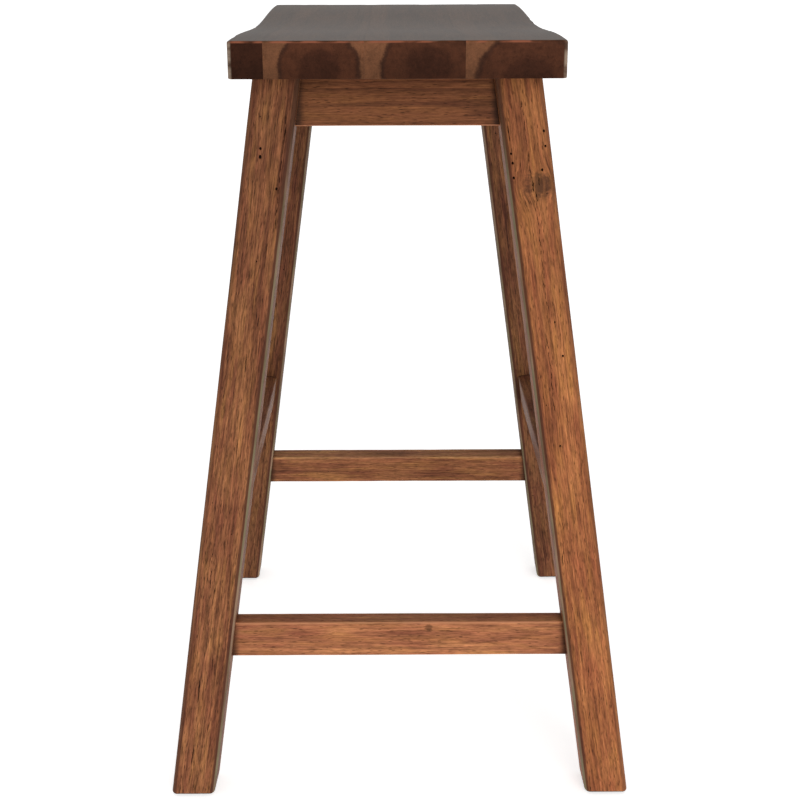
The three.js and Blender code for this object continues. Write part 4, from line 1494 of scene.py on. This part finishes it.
LEG_LOOKS = {
    ("right", "back"): {"amount": 1.04, "warmth": 0.22, "pith": (70, -34), "contrast": 1.15,
                        "streaks": 0.9, "knot": (503, 17.5, 5), "knot_size": 12.0, "top_shade": 0.82},
    ("right", "front"): {"amount": 0.79, "warmth": 0.1, "pith": (55, 40), "contrast": 1.4,
                         "top_shade": 0.8},
    ("left", "back"): {"amount": 0.5, "warmth": 0.05, "pith": (-62, 30), "contrast": 1.4,
                       "top_shade": 0.9},
    ("left", "front"): {"amount": 0.55, "warmth": 0.05, "pith": (48, -52), "contrast": 1.4,
                        "top_shade": 0.9},
}
for (end, side), looks in LEG_LOOKS.items():
    name = f"leg_{end}_{side}"
    seed = float(LEG_SEEDS[end, side])
    inner = -ENDS[end] * SIDES[side]
    paint(pieces[name], leg_wood(f"{name}_stain", seed, legs[end, side]["half"], inner, **looks))
print("leg finish on", len(LEG_LOOKS), "legs")

# %% [markdown]
# **Rails.** Stain and glue gather where a rail meets a leg, so its last few millimetres are dark.
# **Rails.** The last few millimetres of a rail, where it meets a leg, are darkened with painted
# shade. Dust dulls the top of a stretcher. One edge of a rail at the right end carries a painted
# highlight, as a thin broken line along its outer face.

# %% Rail finish
# Colour of the painted shade where a rail meets a leg.
JOINT_SHADE = (0.022, 0.010, 0.006)
JOINT_REACH, JOINT_PAST = 6 * MM, 0.5 * MM
JOINT_STRENGTH = 0.8
DUSTY = (1.5, 1.7, 1.75)
# Colour of a painted highlight along one edge of a rail.
LIT_EDGE_HIGHLIGHT = (0.48, 0.20, 0.10)


def rail_wood(name, seed, rail, lit_edge=0, dusty=0.0, **looks):
    """A rail's finish. lit_edge is 1 for a painted highlight on the top edge, -1 for one on the bottom
    edge.
    """
    half_height, half_thick = rail["half_height"], rail["half_thick"]
    wood = frame_wood(name, seed, half_height, half_thick, rail["radius"], **looks)
    sheet, marks, edges, colour = (wood[part] for part in ("sheet", "marks", "edges", "colour"))
    x, y, z = wood["places"]
    # Painted shade over the last few millimetres at each leg.
    past_end = sheet.math("SUBTRACT", sheet.math("ABSOLUTE", x), rail["half_length"])
    painted_joint_shade = sheet.span(past_end, -JOINT_REACH, JOINT_PAST, 0.0, JOINT_STRENGTH)
    colour = sheet.mix(painted_joint_shade, colour, JOINT_SHADE)
    upward = sheet.span(sheet.math("MULTIPLY", y, 1 / half_height), 0.8, 0.97)
    colour = sheet.mix(sheet.math("MULTIPLY", upward, dusty), colour, DUSTY, "MULTIPLY")
    # Painted highlight: a thin broken bright line along one edge of the outer face.
    if lit_edge:
        on_edge = sheet.span(sheet.math("MULTIPLY", y, lit_edge / half_height), 0.75, 0.95)
        facing = sheet.span(sheet.math("MULTIPLY", z, 1 / half_thick), 0.3, 0.8)
        line = sheet.product(on_edge, facing, edges["Rim"],
                             sheet.span(marks["Streak"], 0.35, 0.6, 0.3, 0.9))
        colour = sheet.mix(line, colour, LIT_EDGE_HIGHLIGHT)
    sheet.feed(wood["sockets"]["Base Color"], colour)
    return wood["material"]


RAIL_LOOKS = {
    "apron_right": {"amount": 0.6, "warmth": 0.16, "pith": (-8, 60), "ring_width": 1.7, "rings": 0.5,
                    "wander": 3.0, "contrast": 0.95, "streaks": 0.2, "hues": 0.3, "lit_edge": -1},
    "stretcher_right": {"amount": 1.3, "warmth": 0.08, "pith": (5, -48), "ring_width": 2.2,
                        "wander": 10.0, "knot": (24, 9.5, 10), "knot_size": 3.4, "rings": 0.35,
                        "streaks": 0.6, "lit_edge": 1, "dusty": 0.5},
    "stretcher_left": {"amount": 0.86, "warmth": 0.08, "pith": (-30, 70), "ring_width": 7.0,
                       "contrast": 1.1, "dusty": 1.0},
}
for index, (name, rail) in enumerate(RAILS.items()):
    looks = RAIL_LOOKS.get(name, {"amount": 0.7, "pith": (20 - 11 * index, 55), "ring_width": 3.2})
    paint(pieces[name], rail_wood(f"{name}_stain", 41.0 + index, rail, **looks))
print("rail finish on", len(RAILS), "rails")

# %% [markdown]
# ## Seat wood
#
# Each seat board was sawn from near the middle of a small log, so its end shows a round of dark
# heartwood with paler sapwood beside it. The same round runs the length of the board. Over it lies a
# dark stain, which evens out the top and the long sides, and a satin lacquer on top, which a second,
# smooth reflection layer called a coat stands for. Where the top meets an end, the lacquer is worn
# through in patches to paler wood. The upright corners of the ends get pale patches of painted
# highlight, and each end is darker towards its bottom.

# %% Group: heartwood
heart, given, out = new_group(
    "Heartwood",
    {"Vector": (0, 0, 0), "Seed": 1.0, "Pith Y": 0.0, "Pith Z": 0.0, "Heart Radius": 28.0},
    ["Heart", "Core", "Halo"],
)
place = heart.in_mm(given["Vector"])
drift = heart.noise(place, (190, 4000, 4000), given["Seed"], 1.0, output="Color")
drift = heart.vector("MULTIPLY", heart.vector("SUBTRACT", drift, (0.5, 0.5, 0.5)), (0, 9, 9))
x, y, z = heart.parts(heart.vector("ADD", place, drift))
off_y = heart.math("SUBTRACT", y, given["Pith Y"])
off_z = heart.math("SUBTRACT", z, given["Pith Z"])
away = heart.off_axis(off_y, off_z)
ragged = heart.noise(place, (30, 1.6, 1.6), given["Seed"], 3.0, 0.65)
lobed = heart.noise(place, (120, 11, 11), given["Seed"], 1.0)
away = heart.math("ADD", away, heart.math("MULTIPLY", heart.math("SUBTRACT", ragged, 0.5), 3.4))
away = heart.math("ADD", away, heart.math("MULTIPLY", heart.math("SUBTRACT", lobed, 0.5), 5.0))
share = heart.math("DIVIDE", away, given["Heart Radius"])
heart.feed(out["Heart"], heart.span(share, 0.95, 1.04, 1.0, 0.0))
heart.feed(out["Core"], heart.span(share, 0.42, 0.58, 1.0, 0.0))
halo = heart.product(heart.span(share, 0.86, 0.98), heart.span(share, 0.98, 1.06, 1.0, 0.0))
heart.feed(out["Halo"], halo)
print("group:", heart.tree.name, len(heart.tree.nodes), "nodes")

# %% Seat wood
HEART_STAIN = (0.053, 0.0185, 0.0092)
CORE_STAIN = (0.036, 0.0125, 0.0066)
SAP_STAIN = (0.110, 0.046, 0.0225)
TOP_STAIN = (0.082, 0.045, 0.022)
SIDE_STAIN = (0.072, 0.030, 0.016)
HALO_STAIN = (0.020, 0.009, 0.006)
SEAT_EDGE = (0.26, 0.085, 0.045)
# Pale painted highlight on the upright corners of the seat's ends.
SEAT_CORNER_HIGHLIGHT = (0.30, 0.225, 0.165)
LIGHT_STREAK = (1.35, 1.3, 1.25)
DARK_STREAK = (0.66, 0.62, 0.6)
SEAT_END_HALF = 13 * MM
EVEN_STAIN = 0.8
SEAT_IOR = 1.1
SEAT_GLOSS = 0.46
SEAT_RELIEF = 0.06 * MM
COAT_ON_TOP = 0.47
COAT_ON_END = 0.0
COAT_ROUGHNESS = 0.3


def seat_wood(name, seed, pith, heart_radius, middle_y, amount=1.0):
    """A seat board's finish. middle_y is the board's own place across the seat."""
    material, sheet, sockets, vector = new_material(name)
    marks = sheet.group(grain.tree, Vector=vector, Seed=seed, Pith_Y=pith[0], Pith_Z=pith[1],
                        Ring_Width=3.4, Wander=4.0)
    rounds = sheet.group(heart.tree, Vector=vector, Seed=seed, Pith_Y=pith[0], Pith_Z=pith[1],
                         Heart_Radius=heart_radius)
    x, y, z = sheet.parts(vector)
    past_end = sheet.math("SUBTRACT", sheet.math("ABSOLUTE", x), half_x)
    on_end = sheet.span(past_end, -1.5 * MM, -0.5 * MM)
    past_side = sheet.math("SUBTRACT", sheet.math("ABSOLUTE", sheet.math("ADD", y, middle_y)), half_y)
    on_side = sheet.span(past_side, -1.5 * MM, -0.5 * MM)

    dark = sheet.mix(rounds["Core"], tinted(HEART_STAIN, amount), tinted(CORE_STAIN, amount))
    middle = sheet.mix(rounds["Heart"], SAP_STAIN, dark)
    middle = sheet.mix(sheet.math("MULTIPLY", rounds["Halo"], 0.6), middle, HALO_STAIN)
    # The colour is darker towards the bottom of the board.
    darker_downward = sheet.span(z, -SEAT_END_HALF, SEAT_END_HALF, 0.80, 1.14)
    middle = sheet.scaled(middle, darker_downward)
    even = sheet.span(on_end, 0.0, 1.0, EVEN_STAIN, 0.0)
    middle = sheet.mix(even, middle, sheet.mix(on_side, TOP_STAIN, SIDE_STAIN))
    light = sheet.mix(1.0, middle, LIGHT_STREAK, "MULTIPLY")
    deep = sheet.mix(1.0, middle, DARK_STREAK, "MULTIPLY")

    past_top = sheet.math("SUBTRACT", z, (seat_high[2] - seat_low[2]) / 2)
    unevenly = sheet.noise(sheet.in_mm(vector), (50, 24, 9), seed, 3.0)
    on_end_edge = sheet.product(sheet.span(past_end, -1.7 * MM, -0.9 * MM),
                                sheet.span(past_top, -1.9 * MM, -1.0 * MM))
    worn = sheet.math("MULTIPLY", on_end_edge, sheet.span(unevenly, 0.42, 0.56, 0.05, 1.0))
    # Painted highlight: pale patches on the upright corners of the ends.
    corner = sheet.product(sheet.span(past_end, -3.4 * MM, -1.8 * MM),
                           sheet.span(past_side, -3.4 * MM, -1.8 * MM),
                           sheet.span(unevenly, 0.38, 0.6, 0.1, 0.75))

    masks = {label: marks[label] for label in ("Rings", "Fibre", "Streak", "Patch")}
    pores = sheet.math("MULTIPLY", marks["Pores"], 0.5)
    contrast = sheet.span(on_end, 0.0, 1.0, 0.5, 0.3)
    looks = sheet.group(stain.tree, **masks, Pores=pores, Light=light, Middle=middle, Dark=deep,
                        Worn=SEAT_EDGE, Edge=worn, Wear=0.9, Contrast=contrast, Ring_Strength=0.1,
                        Gloss=SEAT_GLOSS)
    sheet.feed(sockets["Base Color"], sheet.mix(corner, looks["Colour"], SEAT_CORNER_HIGHLIGHT))
    sheet.feed(sockets["Roughness"], looks["Roughness"])
    sockets["IOR"].default_value = SEAT_IOR
    off_top = sheet.math("MAXIMUM", on_end, on_side)
    sheet.feed(sockets["Coat Weight"], sheet.span(off_top, 0.0, 1.0, COAT_ON_TOP, COAT_ON_END))
    sockets["Coat Roughness"].default_value = COAT_ROUGHNESS
    bump(sheet, sockets, looks["Height"], SEAT_RELIEF)
    return material


SEAT_LOOKS = {
    "seat_strip": {"pith": (2, 3), "heart_radius": 40.0, "amount": 0.72},
    "seat_board_1": {"pith": (4.2, -8), "heart_radius": 29.0},
    "seat_board_2": {"pith": (9, -8), "heart_radius": 33.0, "amount": 0.92},
    "seat_board_3": {"pith": (10, -17), "heart_radius": 37.5},
}
for index, (name, looks) in enumerate(SEAT_LOOKS.items()):
    middle_y = pieces[name].matrix_world.translation.y
    paint(pieces[name], seat_wood(f"{name}_stain", 5.0 + 3 * index, middle_y=middle_y, **looks))
    shade(pieces[name], 30)
print("seat wood on", len(SEAT_LOOKS), "boards")

# %% [markdown]
# ## Block wood, steel and plastic
#
# The corner blocks are left raw, with the fine ridges of the saw across them. The screws and nails
# are zinc plated: bright, a little mottled, and darker in the recess. The glides are moulded from
# dark plastic, with a faint grain and scuffs where they rub on the floor.

# %% Block wood
RAW_LIGHT = (0.62, 0.42, 0.23)
RAW_MIDDLE = (0.50, 0.31, 0.155)
RAW_DARK = (0.33, 0.19, 0.09)
RAW_ROUGH = 0.78
SAW_RIDGE = 0.25


def block_wood(name, seed):
    """Raw sawn hardwood, with the saw's ridges across it."""
    material, sheet, sockets, vector = new_material(name)
    marks = sheet.group(grain.tree, Vector=vector, Seed=seed, Pith_Y=50.0, Pith_Z=-30.0, Ring_Width=2.8)
    masks = {label: marks[label] for label in ("Rings", "Fibre", "Streak", "Patch", "Pores")}
    looks = sheet.group(stain.tree, **masks, Light=RAW_LIGHT, Middle=RAW_MIDDLE, Dark=RAW_DARK,
                        Wear=0.0, Contrast=0.6, Gloss=RAW_ROUGH)
    sheet.feed(sockets["Base Color"], looks["Colour"])
    sheet.feed(sockets["Roughness"], looks["Roughness"])
    place = sheet.in_mm(vector)
    shake = sheet.math("MULTIPLY", sheet.noise(place, (9, 9, 9), seed, 1.0), 9.0)
    stroke = sheet.math("MULTIPLY", sheet.parts(place)["Z"], 3.4)
    ridge = sheet.math("SINE", sheet.math("ADD", stroke, shake))
    height = sheet.math("ADD", looks["Height"], sheet.math("MULTIPLY", ridge, SAW_RIDGE))
    bump(sheet, sockets, height, SAW_RIDGE * MM)
    return material


for index, (end, side) in enumerate(CORNERS):
    name = f"corner_block_{end}_{side}"
    paint(pieces[name], block_wood(f"{name}_raw", 81.0 + index))
print("block wood on", len(CORNERS), "blocks")


# %% Zinc-plated steel
ZINC_COOL = (0.52, 0.53, 0.54)
ZINC_WARM = (0.68, 0.67, 0.64)
ZINC_GRIME = (0.24, 0.20, 0.15)
zinc, sheet, sockets, vector = new_material("zinc_plate")
place = sheet.in_mm(vector)
mottle = sheet.noise(place, (1.3, 1.3, 1.3), 3.0, 3.0, 0.6)
grime = sheet.noise(place, (3.5, 3.5, 3.5), 8.0, 4.0, 0.7)
tone = sheet.mix(sheet.span(mottle, 0.35, 0.65), ZINC_COOL, ZINC_WARM)
tone = sheet.mix(sheet.span(grime, 0.55, 0.75, 0.0, 0.7), tone, ZINC_GRIME)
sheet.feed(sockets["Base Color"], tone)
sockets["Metallic"].default_value = 1.0
sheet.feed(sockets["Roughness"], sheet.span(grime, 0.3, 0.75, 0.24, 0.55))
bump(sheet, sockets, mottle, 0.03 * MM)

# %% Glide plastic
DARK_PLASTIC = (0.022, 0.018, 0.016)
SCUFFED_PLASTIC = (0.16, 0.145, 0.13)
plastic, sheet, sockets, vector = new_material("glide_plastic_moulded")
place = sheet.in_mm(vector)
pebble = sheet.cells(place, (0.35, 0.35, 0.35), 2.0)[0]
scuff = sheet.noise(place, (6, 0.5, 3), 4.0, 4.0, 0.7)
low = sheet.span(sheet.parts(place)["Z"], 0.1, 0.9, 1.0, 0.0)
scuffed = sheet.math("MULTIPLY", low, sheet.span(scuff, 0.5, 0.62))
sheet.feed(sockets["Base Color"], sheet.mix(scuffed, DARK_PLASTIC, SCUFFED_PLASTIC))
sheet.feed(sockets["Roughness"], sheet.math("ADD", sheet.math("MULTIPLY", scuffed, 0.3), 0.42))
bump(sheet, sockets, sheet.math("SUBTRACT", pebble, scuffed), 0.04 * MM)

for name, piece in pieces.items():
    if "_screw_" in name or "_nail_" in name:
        paint(piece, zinc)
    elif name.startswith("glide_"):
        paint(piece, plastic)
print("materials:", len(bpy.data.materials))

# %% [markdown]
# ## Onto the frame
#
# Every piece rides on the frame's one body and stands for its own node.

# %% Ride on the frame
SLOTS = {"seat_strip": "seat_wood", "seat_board": "seat_wood", "corner_block": "block_wood",
         "glide_nail": "screw_steel", "glide": "glide_plastic", "seat_screw": "screw_steel",
         "end_screw": "screw_steel", "side_screw": "screw_steel"}
for name, piece in pieces.items():
    start = next((start for start in SLOTS if name.startswith(start)), None)
    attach(piece, "root")
    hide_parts(name)
    SLOTS.get(start, "frame_wood")
print("riding:", len(pieces), "pieces")

# %% [markdown]
# ## Studio
#
# A wide pale floor under an even sky makes the plain backdrop of a shop picture. The floor glows a
# little, as paper lit from behind does. The main light is a sun with a wide disc, soft as a big lamp
# behind cloth. It stands low in front of the near end, a bit to the right, so tops stay darker
# than fronts. The sky lights the stool dimly, but looks white to the camera.

# %% Floor and light
FLOOR_SIZE = 60
FLOOR_GLOW = 0.6
PAPER, PAPER_FLECK = (0.93, 0.93, 0.925), (0.95, 0.95, 0.95)
floor_mesh = bpy.data.meshes.new("floor")
half = FLOOR_SIZE / 2
corners = [(-half, -half, 0), (half, -half, 0), (half, half, 0), (-half, half, 0)]
floor_mesh.from_pydata(corners, [], [(0, 1, 2, 3)])
floor = bpy.data.objects.new("floor", floor_mesh)
bpy.context.collection.objects.link(floor)
paper, sheet, sockets, vector = new_material("floor_paper")
fleck = sheet.noise(sheet.in_mm(vector), (40, 40, 40), 1.0, 3.0)
sheet.feed(sockets["Base Color"], sheet.mix(fleck, PAPER, PAPER_FLECK))
sockets["Roughness"].default_value = 0.85
sockets["Emission Color"].default_value = (1, 1, 1, 1)
sockets["Emission Strength"].default_value = FLOOR_GLOW
floor_mesh.materials.append(paper)

SKY_STRENGTH = 0.5
SUN_STRENGTH = 1.6
SUN_SOFTNESS = math.radians(34)
SUN_FROM = Vector((1, 0.3, 0.27))
world = bpy.data.worlds.new("sky")
bpy.context.scene.world = world
world.use_nodes = True
sky = Sheet(world.node_tree)
seen = sky.node("LightPath").outputs["Is Camera Ray"]
strength = sky.math("ADD", sky.math("MULTIPLY", seen, 1 - SKY_STRENGTH), SKY_STRENGTH)
background = world.node_tree.nodes["Background"].inputs
sky.feed(background["Color"], (1, 1, 1))
sky.feed(background["Strength"], strength)
sun_data = bpy.data.lights.new("soft_lamp", "SUN")
sun_data.energy = SUN_STRENGTH
sun_data.angle = SUN_SOFTNESS
sun = bpy.data.objects.new("soft_lamp", sun_data)
sun.matrix_world = SUN_FROM.to_track_quat("Z", "Y").to_matrix().to_4x4()
bpy.context.collection.objects.link(sun)
bpy.context.scene.view_settings.view_transform = "Standard"
print("floor:", FLOOR_SIZE, "m wide; sky", SKY_STRENGTH, "and lamp", SUN_STRENGTH)
